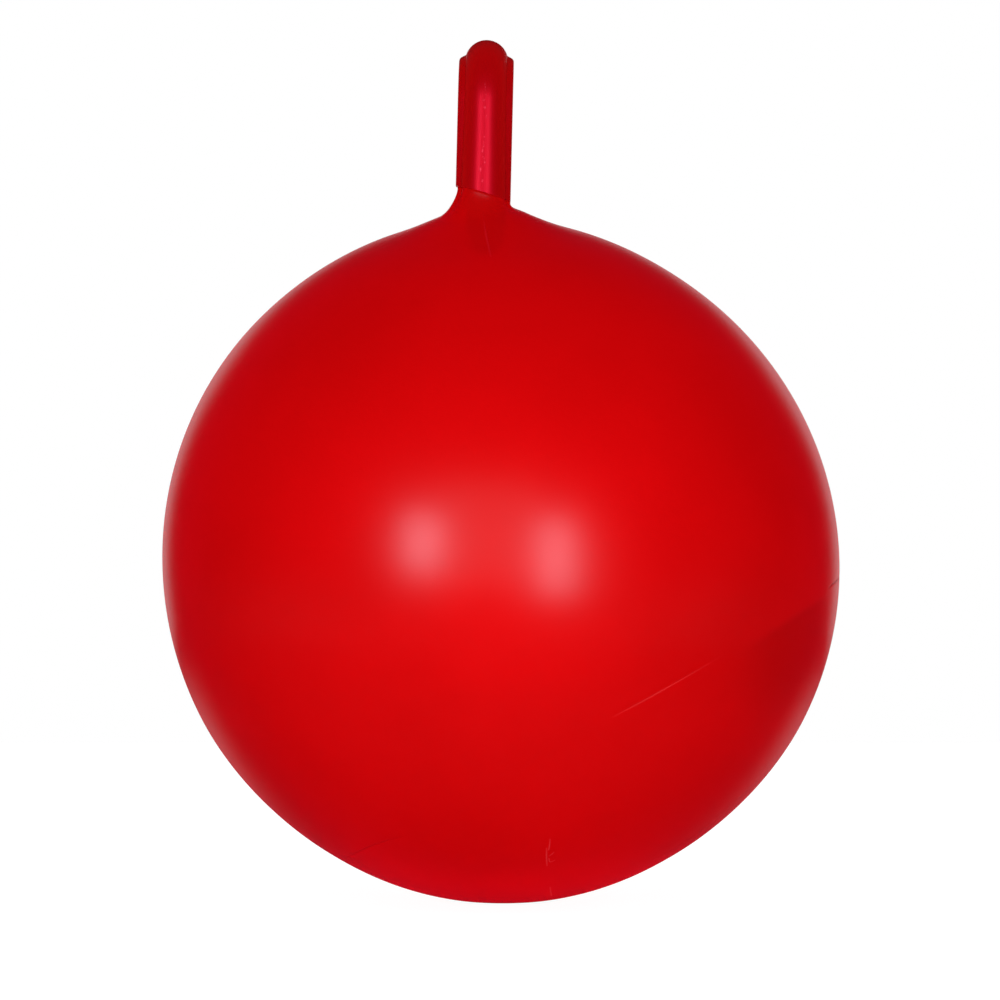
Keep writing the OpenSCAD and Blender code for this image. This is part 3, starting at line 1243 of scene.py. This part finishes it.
@dataclass
class LoopHandle:
    """The glossy loop handle with a domed ridge all round its outer side."""

    lay: Layout
    # The round corners on the hand side and at the shoulders, and the straight left beside them
    palm_r: float = 8 * MM
    shoulder_r: float = 3 * MM
    ease: float = 0.5 * MM
    # How far the ridge stands out of the grip, and the radius of its dome
    ridge_out: float = 10.6 * MM
    ridge_r: float = 14.2 * MM
    # The shoulders slope up to the ridge: the angle of their face, how far the edge is let down,
    # and where along the face its points lie
    slope: float = 62.0
    slope_drop: float = 0.6 * MM
    slope_shares: tuple[float, ...] = (0.5, 0.92, 1.0)
    # The ridge is wider at the leg's foot by this share, which comes in across this band beside
    # the ridge's own foot
    ridge_flare: float = 0.08
    flare_band: tuple[float, float] = (-1 * MM, 2 * MM)
    # The fine line that the mould leaves along the dome: its height, half its width, and the
    # place of its shoulder as shares of both
    flash: float = 0.03 * MM
    flash_half: float = 0.6 * MM
    flash_shoulder_shares: tuple[float, float] = (0.45, 0.85)
    # Up to this height the slant of the foot shows in the leg's rings, and the radius of its edge
    foot_rise: float = 34 * MM
    foot_edge_r: float = 0.12 * MM
    # Heights of the leg's first rings and the distance between the others, in millimetres
    first_rises: tuple[float, ...] = (0.0, 0.02, 0.05, 0.12, 0.3, 0.6, 1.3, 3.0)
    ring_gap: float = 3.0
    # Angle of the first short step of the ridge's round beside the corner, in degrees
    near_corner: float = 1.0
    arc_steps: int = 8
    ridge_steps: int = 22
    bend_steps: int = 26

    def arc(self, x: float, y: float, radius: float, start: float, end: float, steps: int) -> list[Vector]:
        """Lays points on an arc of the section.

        Args:
            x: the arc's middle, across.
            y: the arc's middle, outwards.
            radius: the arc's radius.
            start: the angle of its first point, in degrees.
            end: the angle of its last point.
            steps: how many stretches it has.

        Returns:
            The points.
        """
        found = []
        for i in range(steps + 1):
            angle = math.radians(start + (end - start) * i / steps)
            found.append(Vector((x + radius * math.cos(angle), y + radius * math.sin(angle), 0.0)))
        return found

    def section(self) -> list[Vector]:
        """Returns the grip's outline: x across, y outwards from the hand side.

        Returns:
            The points, all the way round.
        """
        lay = self.lay
        half = lay.grip_w / 2
        body = lay.grip_t - self.ridge_out
        crown_y = lay.grip_t - self.flash
        ridge_y = crown_y - self.ridge_r
        right = [Vector((0.0, 0.0, 0.0)), Vector((half - self.palm_r - self.ease, 0.0, 0.0))]
        right += self.arc(half - self.palm_r, self.palm_r, self.palm_r, -90, 0, self.arc_steps)
        edge_y = body - self.slope_drop - self.shoulder_r
        right += [Vector((half, y, 0.0)) for y in (self.palm_r + self.ease, edge_y - self.ease)]
        right += self.arc(half - self.shoulder_r, edge_y, self.shoulder_r, 0, self.slope, self.arc_steps)
        # Where the sloped face meets the ridge's round
        slope = math.radians(self.slope)
        way = Vector((-math.sin(slope), math.cos(slope)))
        from_ridge = right[-1].to_2d() - Vector((0.0, ridge_y))
        along = from_ridge.dot(way)
        reach = -along - math.sqrt(along**2 - from_ridge.length_squared + self.ridge_r**2)
        meet = from_ridge + way * reach
        touch = math.degrees(math.atan2(meet.y, meet.x))
        for share in self.slope_shares:
            spot = from_ridge + way * reach * share + Vector((0.0, ridge_y))
            right.append(Vector((*spot, 0.0)))
        right += self.arc(0.0, ridge_y, self.ridge_r, touch, touch + self.near_corner, 1)[1:]
        crown = 90 - math.degrees(self.flash_half / self.ridge_r)
        beside = touch + self.near_corner
        right += self.arc(0.0, ridge_y, self.ridge_r, beside, crown, self.ridge_steps)[1:]
        flash_x, flash_y = self.flash_shoulder_shares
        right.append(Vector((self.flash_half * flash_x, crown_y + self.flash * flash_y, 0.0)))
        left = [Vector((-p.x, p.y, 0.0)) for p in reversed(right[1:])]
        top = [Vector((0.0, lay.grip_t, 0.0))]
        # Turned so that the sweep lays the outer side away from the middle of the loop
        return [Vector((-p.y, p.x, 0.0)) for p in right + top + left]

    def foot_outline(self) -> tuple[tuple[float, float], ...]:
        """Finds the grip's outline at the foot, where the ridge is widest.

        Returns:
            The points: across, and outwards from the leg's middle.
        """
        found = []
        for point in self.section():
            across, outward = point.y, -point.x - self.lay.grip_t / 2
            found.append((across * (1.0 + self.flare_at(outward, 0.0)), outward))
        return tuple(found)

    def flare_at(self, outward: float, rise: float) -> float:
        """Finds by which share the ridge is wider at a place of the leg.

        Args:
            outward: how far the place lies outwards from the leg's middle.
            rise: its height above the foot.

        Returns:
            The share.
        """
        lay = self.lay
        leg = lay.handle_rise - lay.neck_rise - lay.bend_r
        past = outward - (lay.grip_t / 2 - self.ridge_out)
        return self.ridge_flare * smooth(past, *self.flare_band) * (1.0 - smooth(rise, 0.0, leg))

    def path(self) -> list[Vector]:
        """Returns the hand side's path in the loop's plane: x along the depth, y up.

        Returns:
            The points, from the front leg's foot over the top to the back leg's foot.
        """
        lay = self.lay
        inner = lay.bend_r - lay.grip_t
        side = lay.leg_y - lay.grip_t / 2
        top = lay.handle_rise - lay.neck_rise - lay.bend_r
        last = self.first_rises[-1]
        more = range(1, int((top / MM - last) / self.ring_gap))
        rises = [*self.first_rises, *(last + self.ring_gap * i for i in more)]
        up = [Vector((-side, rise * MM, 0.0)) for rise in rises]
        bend = []
        for i in range(self.bend_steps + 1):
            angle = math.pi - math.pi / 2 * i / self.bend_steps
            x = inner - side + inner * math.cos(angle)
            bend.append(Vector((x, top + inner * math.sin(angle), 0.0)))
        straight = [Vector((0.0, top + inner, 0.0))]
        first = up + bend
        second = [Vector((-p.x, p.y, 0.0)) for p in reversed(first)]
        return first + straight + second

    def sweep_tree(self) -> bpy.types.NodeTree:
        """Builds the rule that sweeps a section along a path.

        Returns:
            The geometry tree.
        """
        graph, given, out = open_group(
            "swept_section",
            "GeometryNodeTree",
            {
                "Geometry": ("NodeSocketGeometry", None),
                "Path": ("NodeSocketObject", None),
                "Section": ("NodeSocketObject", None),
                "Material": ("NodeSocketMaterial", None),
            },
            {"Geometry": "NodeSocketGeometry"},
        )
        path, section = (
            graph.node("GeometryNodeObjectInfo", {"Object": given[name]}, transform_space="RELATIVE")
            for name in ("Path", "Section")
        )
        steady = graph.node("GeometryNodeSetCurveNormal", {"Curve": path.outputs["Geometry"]})
        swept = graph.node(
            "GeometryNodeCurveToMesh",
            {"Curve": steady.outputs[0], "Profile Curve": section.outputs["Geometry"], "Fill Caps": True},
        )
        finish_geometry(graph, swept.outputs[0], given["Material"], out)
        return graph.tree

    def seat_foot(self, place: Vector) -> Vector:
        """Slants and rounds the foot of each leg.

        Args:
            place: a point of the straight loop, in the handle's own frame.

        Returns:
            The point's place on the finished handle.
        """
        lay = self.lay
        rise = place.z
        place.x *= 1.0 + self.flare_at(abs(place.y) - lay.leg_y, rise)
        if rise >= self.foot_rise:
            return place
        if rise < self.foot_edge_r:
            left = min(self.foot_edge_r - rise, self.foot_edge_r)
            inset = self.foot_edge_r - math.sqrt(self.foot_edge_r**2 - left**2)
            axis_y = math.copysign(lay.leg_y, place.y)
            place.x *= 1 - inset / (lay.grip_w / 2)
            place.y = axis_y + (place.y - axis_y) * (1 - inset / (lay.grip_t / 2))
        seat = -place.x * math.tan(lay.seat_slant)
        place.z = rise + seat * (1 - rise / self.foot_rise)
        return place

    def build(self, material: bpy.types.Material) -> bpy.types.Object:
        """Builds the handle.

        Args:
            material: the handle's finish.

        Returns:
            The finished piece.
        """
        piece = new_piece("loop_handle", bmesh.new())
        path = new_line("handle_path", [self.path()])
        section = new_line("handle_section", [self.section()], closed=True)
        add_modifier(piece, self.sweep_tree(), {"Path": path, "Section": section, "Material": material})
        bake(piece)
        bpy.data.objects.remove(path)
        bpy.data.objects.remove(section)
        for vert in piece.data.vertices:
            along, up, across = vert.co
            vert.co = self.lay.upright @ self.seat_foot(Vector((across, along, up)))
        work = bmesh.new()
        work.from_mesh(piece.data)
        bmesh.ops.remove_doubles(work, verts=work.verts, dist=SAME_PLACE)
        bmesh.ops.recalc_face_normals(work, faces=work.faces)
        work.to_mesh(piece.data)
        work.free()
        LOG.info("loop_handle: %d faces", len(piece.data.polygons))
        return piece


def grain_group() -> bpy.types.NodeTree:
    """Builds the shared effect of moulded soft plastic: mottle, wear and a fine grain.

    Returns:
        The shader group. Its outputs are a mottle mask, a wear mask and a height for the bump.
    """
    number = "NodeSocketFloat"
    graph, given, out = open_group(
        "moulded_grain",
        "ShaderNodeTree",
        {
            "Mottle scale": (number, 9.0),
            "Grain scale": (number, 900.0),
            "Wear scale": (number, 60.0),
            "Wear amount": (number, 0.5),
        },
        {"Mottle": number, "Wear": number, "Height": number},
    )
    # Wear shows where its noise is between these values and above
    wear_starts, wear_full = 0.56, 0.72
    mottle_detail, wear_detail, grain_detail = 4.0, 5.0, 2.0
    wear_distortion = 0.2
    where = graph.node("ShaderNodeTexCoord").outputs["Object"]
    mottle = graph.noise(where, given["Mottle scale"], mottle_detail)
    slow = graph.noise(where, given["Wear scale"], wear_detail, wear_distortion)
    fine = graph.noise(where, given["Grain scale"], grain_detail)
    worn = graph.step(slow, wear_starts, wear_full, 0.0, 1.0)
    wear = graph.math("MULTIPLY", worn, given["Wear amount"])
    for label, value in (("Mottle", mottle), ("Wear", wear), ("Height", fine)):
        graph.tree.links.new(value, out.inputs[label])
    return graph.tree


def seam_group() -> bpy.types.NodeTree:
    """Builds the shared effect of a moulding seam: small raised flecks along a plane.

    Returns:
        The shader group. Its output is a height for the bump, and a mask for the flecks' painted glints.
    """
    number = "NodeSocketFloat"
    graph, given, out = open_group(
        "moulding_seam",
        "ShaderNodeTree",
        {
            "Seam point": ("NodeSocketVector", None),
            "Seam side": ("NodeSocketVector", None),
            "Half width": (number, 1 * MM),
            "Fleck scale": (number, 420.0),
            "Wander": (number, 6 * MM),
            "Wander scale": (number, 130.0),
            "Seam top": (number, 1.0),
        },
        {"Height": number},
    )
    # Flecks show where their noise is between these values and above
    flecks_start, flecks_full = 0.55, 0.68
    wander_detail, fleck_detail = 1.0, 2.0
    # Noise is about this on average
    noise_middle = 0.5
    # The seam comes in over this length below its top
    fade_length = 22 * MM
    where = graph.node("ShaderNodeTexCoord").outputs["Object"]
    from_point = graph.vector("SUBTRACT", where, given["Seam point"])
    aside = graph.vector("DOT_PRODUCT", from_point, given["Seam side"])
    drift = graph.noise(where, given["Wander scale"], wander_detail)
    wander = graph.math("MULTIPLY", graph.math("SUBTRACT", drift, noise_middle), given["Wander"])
    gap = graph.math("ABSOLUTE", graph.math("ADD", aside, wander))
    under_top = graph.math("SUBTRACT", given["Seam top"], graph.parts(where)["Z"])
    below = graph.step(under_top, 0.0, fade_length, 0.0, 1.0)
    band = graph.math("MULTIPLY", graph.step(gap, 0.0, given["Half width"], 1.0, 0.0), below)
    flecks = graph.noise(where, given["Fleck scale"], fleck_detail)
    raised = graph.step(flecks, flecks_start, flecks_full, 0.0, 1.0)
    graph.tree.links.new(graph.math("MULTIPLY", band, raised), out.inputs["Height"])
    return graph.tree


@dataclass(frozen=True)
class Tone:
    """A colour that a mask kept on the skin brings in."""

    mask: str
    colour: Colour
    share: float


@dataclass(frozen=True)
class SoftPlastic:
    """A finish of moulded soft plastic."""

    name: str
    # The two colours that the mottle goes between
    deep: Colour
    bright: Colour
    roughness: float
    specular: float
    coat: float
    coat_roughness: float
    wear_amount: float
    ior: float = 1.5
    tint: Colour = (1.0, 0.05, 0.06)
    sheen: float = 0.0
    sheen_roughness: float = 0.4
    sheen_tint: Colour = (1.0, 0.02, 0.14)
    # The fine grain's strength and depth, and the scales of grain and mottle
    bump: float = 0.02
    grain_depth: float = 0.4 * MM
    grain_scale: float = 900.0
    mottle_scale: float = 9.0
    # The mottle's noise gives the deep colour up to the first value, and the bright from the last
    mottle_band: tuple[float, float] = (0.3, 0.7)
    # How much rougher full wear makes the surface
    wear_roughness: float = 0.05
    tones: tuple[Tone, ...] = ()
    # The surface is duller between these facing values, down to this share of its gloss, and the
    # rim gets its gloss back between the next two
    facing_blend: float = 0.5
    dull_from: float = 0.1
    dull_full: float = 0.5
    dull_share: float = 0.3
    rim_from: float = 0.62
    rim_full: float = 0.86
    # Below this height the surface is dull from standing and rolling on the ground
    ground_high: float = 0.0
    ground_low: float = 0.0
    ground_share: float = 1.0
    # The rim's gloss goes lower, between these heights
    rim_low: float = 0.0
    rim_high: float = 0.0
    rim_share: float = 1.0
    # The moulding seam: how high its flecks stand, the colour of their painted glints and how much of
    # it they show, the height where the seam ends, and the place and direction of its plane
    seam_depth: float = 0.0
    seam_glint_colour: Colour = (1.0, 0.11, 0.17)
    seam_glint_share: float = 0.6
    seam_top: float = 0.545
    seam_point: Vector = Vector((0.0, 0.0, 0.0))
    seam_side: Vector = Vector((1.0, 0.0, 0.0))

    def colour(self, graph: Graph, mottle: Socket) -> Socket:
        """Adds the surface's colour, mottled and with the tones of its marks.

        Args:
            graph: the material's graph.
            mottle: the mottle's noise.

        Returns:
            The colour.
        """
        spread = graph.step(mottle, *self.mottle_band, 0.0, 1.0)
        colour = graph.mixed(spread, (*self.deep, 1.0), (*self.bright, 1.0))
        for tone in self.tones:
            seen = graph.node("ShaderNodeAttribute", attribute_name=tone.mask).outputs["Fac"]
            colour = graph.mixed(graph.math("MULTIPLY", seen, tone.share), colour, (*tone.colour, 1.0))
        return colour

    def shine(self, graph: Graph) -> Socket:
        """Adds the share of the gloss that shows, by how the surface faces and how high it is.

        Args:
            graph: the material's graph.

        Returns:
            The share.
        """
        facing = graph.node("ShaderNodeLayerWeight", {"Blend": self.facing_blend}).outputs["Facing"]
        inner = graph.step(facing, self.dull_from, self.dull_full, 1.0, self.dull_share)
        rim = graph.step(facing, self.rim_from, self.rim_full, 0.0, 1.0 - self.dull_share)
        if self.ground_high:
            up = graph.parts(graph.node("ShaderNodeTexCoord").outputs["Object"])["Z"]
            clean = graph.step(up, self.ground_low, self.ground_high, self.ground_share, 1.0)
            inner = graph.math("MULTIPLY", inner, clean)
            clean = graph.step(up, self.rim_low, self.rim_high, self.rim_share, 1.0)
            rim = graph.math("MULTIPLY", rim, clean)
        return graph.math("ADD", inner, rim)

    def build(self, grain: bpy.types.NodeTree, seam: bpy.types.NodeTree) -> bpy.types.Material:
        """Builds the material.

        Args:
            grain: the shared grain effect.
            seam: the shared moulding seam effect.

        Returns:
            The material.
        """
        material = bpy.data.materials.new(self.name)
        material.use_nodes = True
        material.node_tree.nodes.clear()
        graph = Graph(material.node_tree)
        amounts = {
            "Mottle scale": self.mottle_scale,
            "Grain scale": self.grain_scale,
            "Wear amount": self.wear_amount,
        }
        effect = graph.node("ShaderNodeGroup", node_tree=grain)
        for name, value in amounts.items():
            effect.inputs[name].default_value = value
        wear = effect.outputs["Wear"]
        colour = self.colour(graph, effect.outputs["Mottle"])
        rough = graph.math("ADD", graph.math("MULTIPLY", wear, self.wear_roughness), self.roughness)
        height = effect.outputs["Height"]
        grained = {"Strength": self.bump, "Distance": self.grain_depth, "Height": height}
        bump = graph.node("ShaderNodeBump", grained)
        if self.seam_depth:
            line = graph.node("ShaderNodeGroup", node_tree=seam)
            plane = {"Seam point": self.seam_point, "Seam side": self.seam_side, "Seam top": self.seam_top}
            for name, value in plane.items():
                line.inputs[name].default_value = value
            flecks = line.outputs["Height"]
            # The flecks' glints are painted into the colour, besides the bump that raises them
            painted_glint = graph.math("MULTIPLY", flecks, self.seam_glint_share)
            colour = graph.mixed(painted_glint, colour, (*self.seam_glint_colour, 1.0))
            raised = {"Strength": 1.0, "Distance": self.seam_depth, "Height": flecks}
            bump = graph.node("ShaderNodeBump", {**raised, "Normal": bump.outputs[0]})
        shine = self.shine(graph)
        level = graph.math("MULTIPLY", shine, self.specular) if self.specular else 0.0
        shader = graph.node(
            "ShaderNodeBsdfPrincipled",
            {
                "Base Color": colour,
                "Roughness": rough,
                "IOR": self.ior,
                "Specular IOR Level": level,
                "Specular Tint": (*self.tint, 1.0),
                "Coat Weight": graph.math("MULTIPLY", shine, self.coat),
                "Coat Roughness": self.coat_roughness,
                "Sheen Weight": self.sheen,
                "Sheen Roughness": self.sheen_roughness,
                "Sheen Tint": (*self.sheen_tint, 1.0),
                "Normal": bump.outputs[0],
            },
        )
        out = graph.node("ShaderNodeOutputMaterial")
        material.node_tree.links.new(shader.outputs[0], out.inputs[0])
        return material


@dataclass(frozen=True, kw_only=True)
class Lamp:
    """A studio lamp, placed by its direction from the ball."""

    name: str
    # Its direction in degrees: round from the camera's side, positive to the right, and upwards
    azimuth: float
    elevation: float
    distance: float
    power: float
    # Whether it shows in the gloss
    mirrored: bool = False
    colour: Colour = (1.0, 1.0, 1.0)
    # How far it aims beside the middle of the ball
    aside: Vector = Vector((0.0, 0.0, 0.0))

    def light(self) -> bpy.types.Light:
        """Makes the light of the lamp's own kind."""
        raise NotImplementedError

    def build(self, target: Vector) -> None:
        """Adds the lamp, turned to its target.

        Args:
            target: the middle of the ball.
        """
        azimuth, elevation = math.radians(self.azimuth), math.radians(self.elevation)
        level = math.cos(elevation)
        way = Vector((math.sin(azimuth) * level, -math.cos(azimuth) * level, math.sin(elevation)))
        light = self.light()
        light.energy = self.power
        light.color = self.colour
        # Without this, rays that leave through the base layer would mirror the lamp all the same
        light.cycles.use_multiple_importance_sampling = self.mirrored
        lamp = bpy.data.objects.new(self.name, light)
        lamp.location = target + self.aside + way * self.distance
        lamp.rotation_euler = way.to_track_quat("Z", "Y").to_euler()
        lamp.visible_glossy = self.mirrored
        lamp.visible_camera = False
        bpy.context.scene.collection.objects.link(lamp)


@dataclass(frozen=True, kw_only=True)
class Softbox(Lamp):
    """A flat lamp with an even face."""

    distance: float = 2.2
    width: float
    height: float

    def light(self) -> bpy.types.Light:
        """Makes the flat light.

        Returns:
            The light.
        """
        light = bpy.data.lights.new(self.name, "AREA")
        light.shape = "RECTANGLE"
        light.size = self.width
        light.size_y = self.height
        return light


@dataclass(frozen=True, kw_only=True)
class Spot(Lamp):
    """A lamp with a soft round beam."""

    distance: float = 2.4
    radius: float = 0.06
    # The beam's whole angle in degrees
    cone: float

    def light(self) -> bpy.types.Light:
        """Makes the beam.

        Returns:
            The light.
        """
        light = bpy.data.lights.new(self.name, "SPOT")
        light.spot_size = math.radians(self.cone)
        light.spot_blend = 1.0
        light.shadow_soft_size = self.radius
        return light


@dataclass(frozen=True)
class Fade:
    """How the stage's mirrored white fades in or out along one of its axes, in metres."""

    axis: str
    start: float
    end: float
    comes_in: bool = False
    both_ways: bool = False


@dataclass
class Studio:
    """The white stage and its lamps."""

    lay: Layout
    half_width: float = 1.3
    back_y: float = 1.6
    back_top: float = 1.1
    front_y: float = -0.65
    side_fade: Fade = Fade("X", 0.92, 1.3, both_ways=True)
    floor_side_fade: Fade = Fade("X", 0.3, 0.75, both_ways=True)
    front_fade: Fade = Fade("Y", -0.3, 0.35, comes_in=True)
    top_fade: Fade = Fade("Z", 0.8, 1.1)
    # The share of the floor's white that the lamps give, so that it keeps the ball's shadow
    floor_lit: float = 0.2
    # The greys that the stage and the surroundings have as surfaces
    stage_grey: float = 0.8
    around_grey: float = 0.03
    lamps: tuple[Lamp, ...] = (
        Softbox(
            name="left_softbox",
            azimuth=-24.0,
            elevation=6.5,
            width=0.44,
            height=0.6,
            power=11.7,
            mirrored=True,
            colour=(1.0, 0.88, 1.0),
        ),
        Softbox(
            name="right_softbox",
            azimuth=17.5,
            elevation=3.0,
            width=0.42,
            height=0.8,
            power=12.9,
            mirrored=True,
            colour=(1.0, 0.88, 1.0),
        ),
        Softbox(
            name="front_softbox",
            azimuth=-3.0,
            elevation=10.0,
            width=1.1,
            height=1.15,
            power=4.6,
            mirrored=True,
        ),
        Softbox(name="left_fill", azimuth=-100.0, elevation=0.0, width=3.6, height=3.6, power=34.5),
        Softbox(name="right_fill", azimuth=100.0, elevation=0.0, width=3.6, height=3.6, power=34.5),
        Softbox(name="left_rim", azimuth=-140.0, elevation=0.0, width=1.2, height=1.6, power=23.0),
        Softbox(name="right_rim", azimuth=140.0, elevation=0.0, width=1.2, height=1.6, power=28.0),
        Softbox(name="top_fill", azimuth=0.0, elevation=80.0, width=3.0, height=3.0, power=23.0),
        Spot(name="upper_spot", azimuth=2.0, elevation=19.0, cone=9.2, power=18.0),
        Spot(
            name="front_left_spot",
            azimuth=1.0,
            elevation=1.0,
            cone=6.2,
            power=36.0,
            aside=Vector((-0.055, 0.0, 0.02)),
        ),
        Spot(
            name="front_right_spot",
            azimuth=1.0,
            elevation=1.0,
            cone=6.2,
            power=36.0,
            aside=Vector((0.055, 0.0, 0.02)),
        ),
        Spot(
            name="low_spot",
            azimuth=0.0,
            elevation=-2.0,
            cone=5.0,
            power=7.0,
            aside=Vector((0.0, 0.0, -0.17)),
        ),
        # Between the floor and the ball, where the floor's own glow would light it
        Softbox(
            name="floor_glow",
            azimuth=0.0,
            elevation=-90.0,
            distance=0.2225,
            width=0.24,
            height=0.24,
            power=0.058,
        ),
        Spot(
            name="floor_spot",
            azimuth=0.0,
            elevation=45.0,
            distance=1.9,
            radius=0.1,
            cone=22.0,
            power=33.0,
            aside=Vector((0.0, -0.37, -0.22)),
        ),
    )

    def white(self, name: str, lit: float, fades: tuple[Fade, ...]) -> bpy.types.Material:
        """Builds a finish of the stage: white to the camera and in gloss, and pale to other rays.

        Args:
            name: the material's name.
            lit: the share of that white that the lamps give, and that a shadow takes away.
            fades: where its mirrored white fades, so that no hard edge shows in the gloss.

        Returns:
            The material.
        """
        material = bpy.data.materials.new(name)
        material.use_nodes = True
        material.node_tree.nodes.clear()
        graph = Graph(material.node_tree)
        path = graph.node("ShaderNodeLightPath").outputs
        direct = graph.math("MAXIMUM", path["Is Camera Ray"], path["Is Transmission Ray"])
        glossy = path["Is Glossy Ray"]
        mirrored = glossy
        parts = graph.parts(graph.node("ShaderNodeTexCoord").outputs["Object"])
        for fade in fades:
            along = graph.math("ABSOLUTE", parts[fade.axis]) if fade.both_ways else parts[fade.axis]
            first, last = (0.0, 1.0) if fade.comes_in else (1.0, 0.0)
            shown = graph.step(along, fade.start, fade.end, first, last)
            mirrored = graph.math("MULTIPLY", mirrored, shown)
        seen = graph.math("MAXIMUM", direct, mirrored)
        glow = graph.node("ShaderNodeEmission", {"Color": (1.0, 1.0, 1.0, 1.0), "Strength": 1.0 + lit})
        grey = self.stage_grey
        pale = graph.node("ShaderNodeBsdfDiffuse", {"Color": (grey, grey, grey, 1.0)})
        share = graph.math("MULTIPLY", seen, 1.0 - lit)
        front = graph.node("ShaderNodeMixShader", {0: share, 1: pale.outputs[0], 2: glow.outputs[0]})
        faded = graph.math("SUBTRACT", glossy, mirrored)
        from_behind = graph.node("ShaderNodeNewGeometry").outputs["Backfacing"]
        behind = graph.math("MAXIMUM", from_behind, faded)
        clear = graph.node("ShaderNodeBsdfTransparent")
        mixed = graph.node("ShaderNodeMixShader", {0: behind, 1: front.outputs[0], 2: clear.outputs[0]})
        out = graph.node("ShaderNodeOutputMaterial")
        material.node_tree.links.new(mixed.outputs[0], out.inputs[0])
        return material

    def build(self) -> None:
        """Adds the floor, the backdrop, the surroundings and the lamps."""
        side, front, back, top = self.half_width, self.front_y, self.back_y, self.back_top
        lying = [(-side, front, 0.0), (side, front, 0.0), (side, back, 0.0), (-side, back, 0.0)]
        floor_fades = (self.floor_side_fade, self.front_fade)
        floor = self.panel("floor", lying, self.white("floor_white", self.floor_lit, floor_fades))
        standing = [(-side, back, 0.0), (side, back, 0.0), (side, back, top), (-side, back, top)]
        back_fades = (self.side_fade, self.top_fade)
        backdrop = self.panel("backdrop", standing, self.white("backdrop_white", 0.0, back_fades))
        world = bpy.data.worlds.new("studio")
        bpy.context.scene.world = world
        world.use_nodes = True
        world.node_tree.nodes.clear()
        graph = Graph(world.node_tree)
        grey = self.around_grey
        sky = graph.node("ShaderNodeBackground", {"Color": (grey, grey, grey, 1.0), "Strength": 1.0})
        out = graph.node("ShaderNodeOutputWorld")
        world.node_tree.links.new(sky.outputs[0], out.inputs[0])
        for lamp in self.lamps:
            lamp.build(self.lay.centre)
        bpy.context.scene.view_settings.view_transform = "Standard"

    def panel(
        self,
        name: str,
        corners: Sequence[tuple[float, float, float]],
        finish: bpy.types.Material,
    ) -> bpy.types.Object:
        """Makes a flat panel of the stage.

        Args:
            name: the panel's name.
            corners: its corners in order, so that it faces the camera or upwards.
            finish: its material.

        Returns:
            The panel.
        """
        work = bmesh.new()
        work.faces.new([work.verts.new(corner) for corner in corners])
        panel = new_piece(name, work)
        panel.data.materials.append(finish)
        return panel


def dress_node(node: str, material: bpy.types.Material, slot: Slot) -> None:
    """Gives a CAD node that stays a better finish.

    Args:
        node: the node's name.
        material: the finish.
        slot: the record's slot of the node.
    """
    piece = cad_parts[node]
    for place in piece.material_slots:
        place.link = "OBJECT"
        place.material = material
    LOG.info("%s: finish %s for slot %s", node, material.name, slot.value)


def main() -> None:
    """Builds the whole scene."""
    logging.basicConfig(level=logging.INFO, format="%(message)s")
    lay = Layout()
    camera = PhotoCamera()
    grain, seam = grain_group(), seam_group()
    # Painted shade for the creases
    crease_shade_colour = (0.3, 0.0008, 0.001)
    satin = SoftPlastic(
        "ball_satin",
        deep=(0.6, 0.0005, 0.0012),
        bright=(0.65, 0.0007, 0.0016),
        roughness=0.5,
        specular=0.0,
        coat=0.52,
        coat_roughness=0.27,
        sheen=0.12,
        wear_amount=0.06,
        ground_low=160 * MM,
        ground_high=214 * MM,
        ground_share=0.22,
        rim_low=20 * MM,
        rim_high=212 * MM,
        rim_share=0.02,
        tones=(
            # Painted shade below the handle and on the necks
            Tone("web", (0.56, 0.001, 0.0014), 1.0),
            # Painted shade in the hollow below the crease
            Tone(HOLLOW.shade, (0.53, 0.0005, 0.001), 1.0),
            # Painted highlight along the crease
            Tone(CREASE.name, (0.9, 0.06, 0.06), 0.36),
            Tone(NOTCH.name, crease_shade_colour, 0.9),
            Tone(LOW_CREASE.name, crease_shade_colour, 0.3),
            Tone(SCUFFS.name, (0.9, 0.09, 0.1), 0.5),
            # Painted highlight along the parting line
            Tone(PARTING.name, (0.8, 0.02, 0.04), 0.28),
        ),
    ).build(grain, seam)
    gloss = SoftPlastic(
        "handle_gloss",
        deep=(0.485, 0.0008, 0.0016),
        bright=(0.52, 0.001, 0.002),
        roughness=0.4,
        specular=1.0,
        ior=1.95,
        tint=(1.0, 0.02, 0.07),
        coat=0.02,
        coat_roughness=0.2,
        wear_amount=0.2,
        seam_depth=0.1 * MM,
        seam_point=lay.upright.translation.copy(),
        seam_side=lay.upright.to_3x3().col[0].copy(),
    ).build(grain, seam)
    loop = LoopHandle(lay)
    skin = BallSkin(lay, Neck(loop.foot_outline()), camera).build(satin)
    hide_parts("ball_shell", "handle_base")
    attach(skin, "ball")
    handle = loop.build(gloss)
    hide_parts("handle_loop")
    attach(handle, "ball")
    dress_node("valve_seat", satin, Slot.VALVE_SEAT)
    dress_node("valve_plug", gloss, Slot.VALVE_PLUG)
    Studio(lay).build()
    camera.build()


if __name__ == "__main__":
    main()
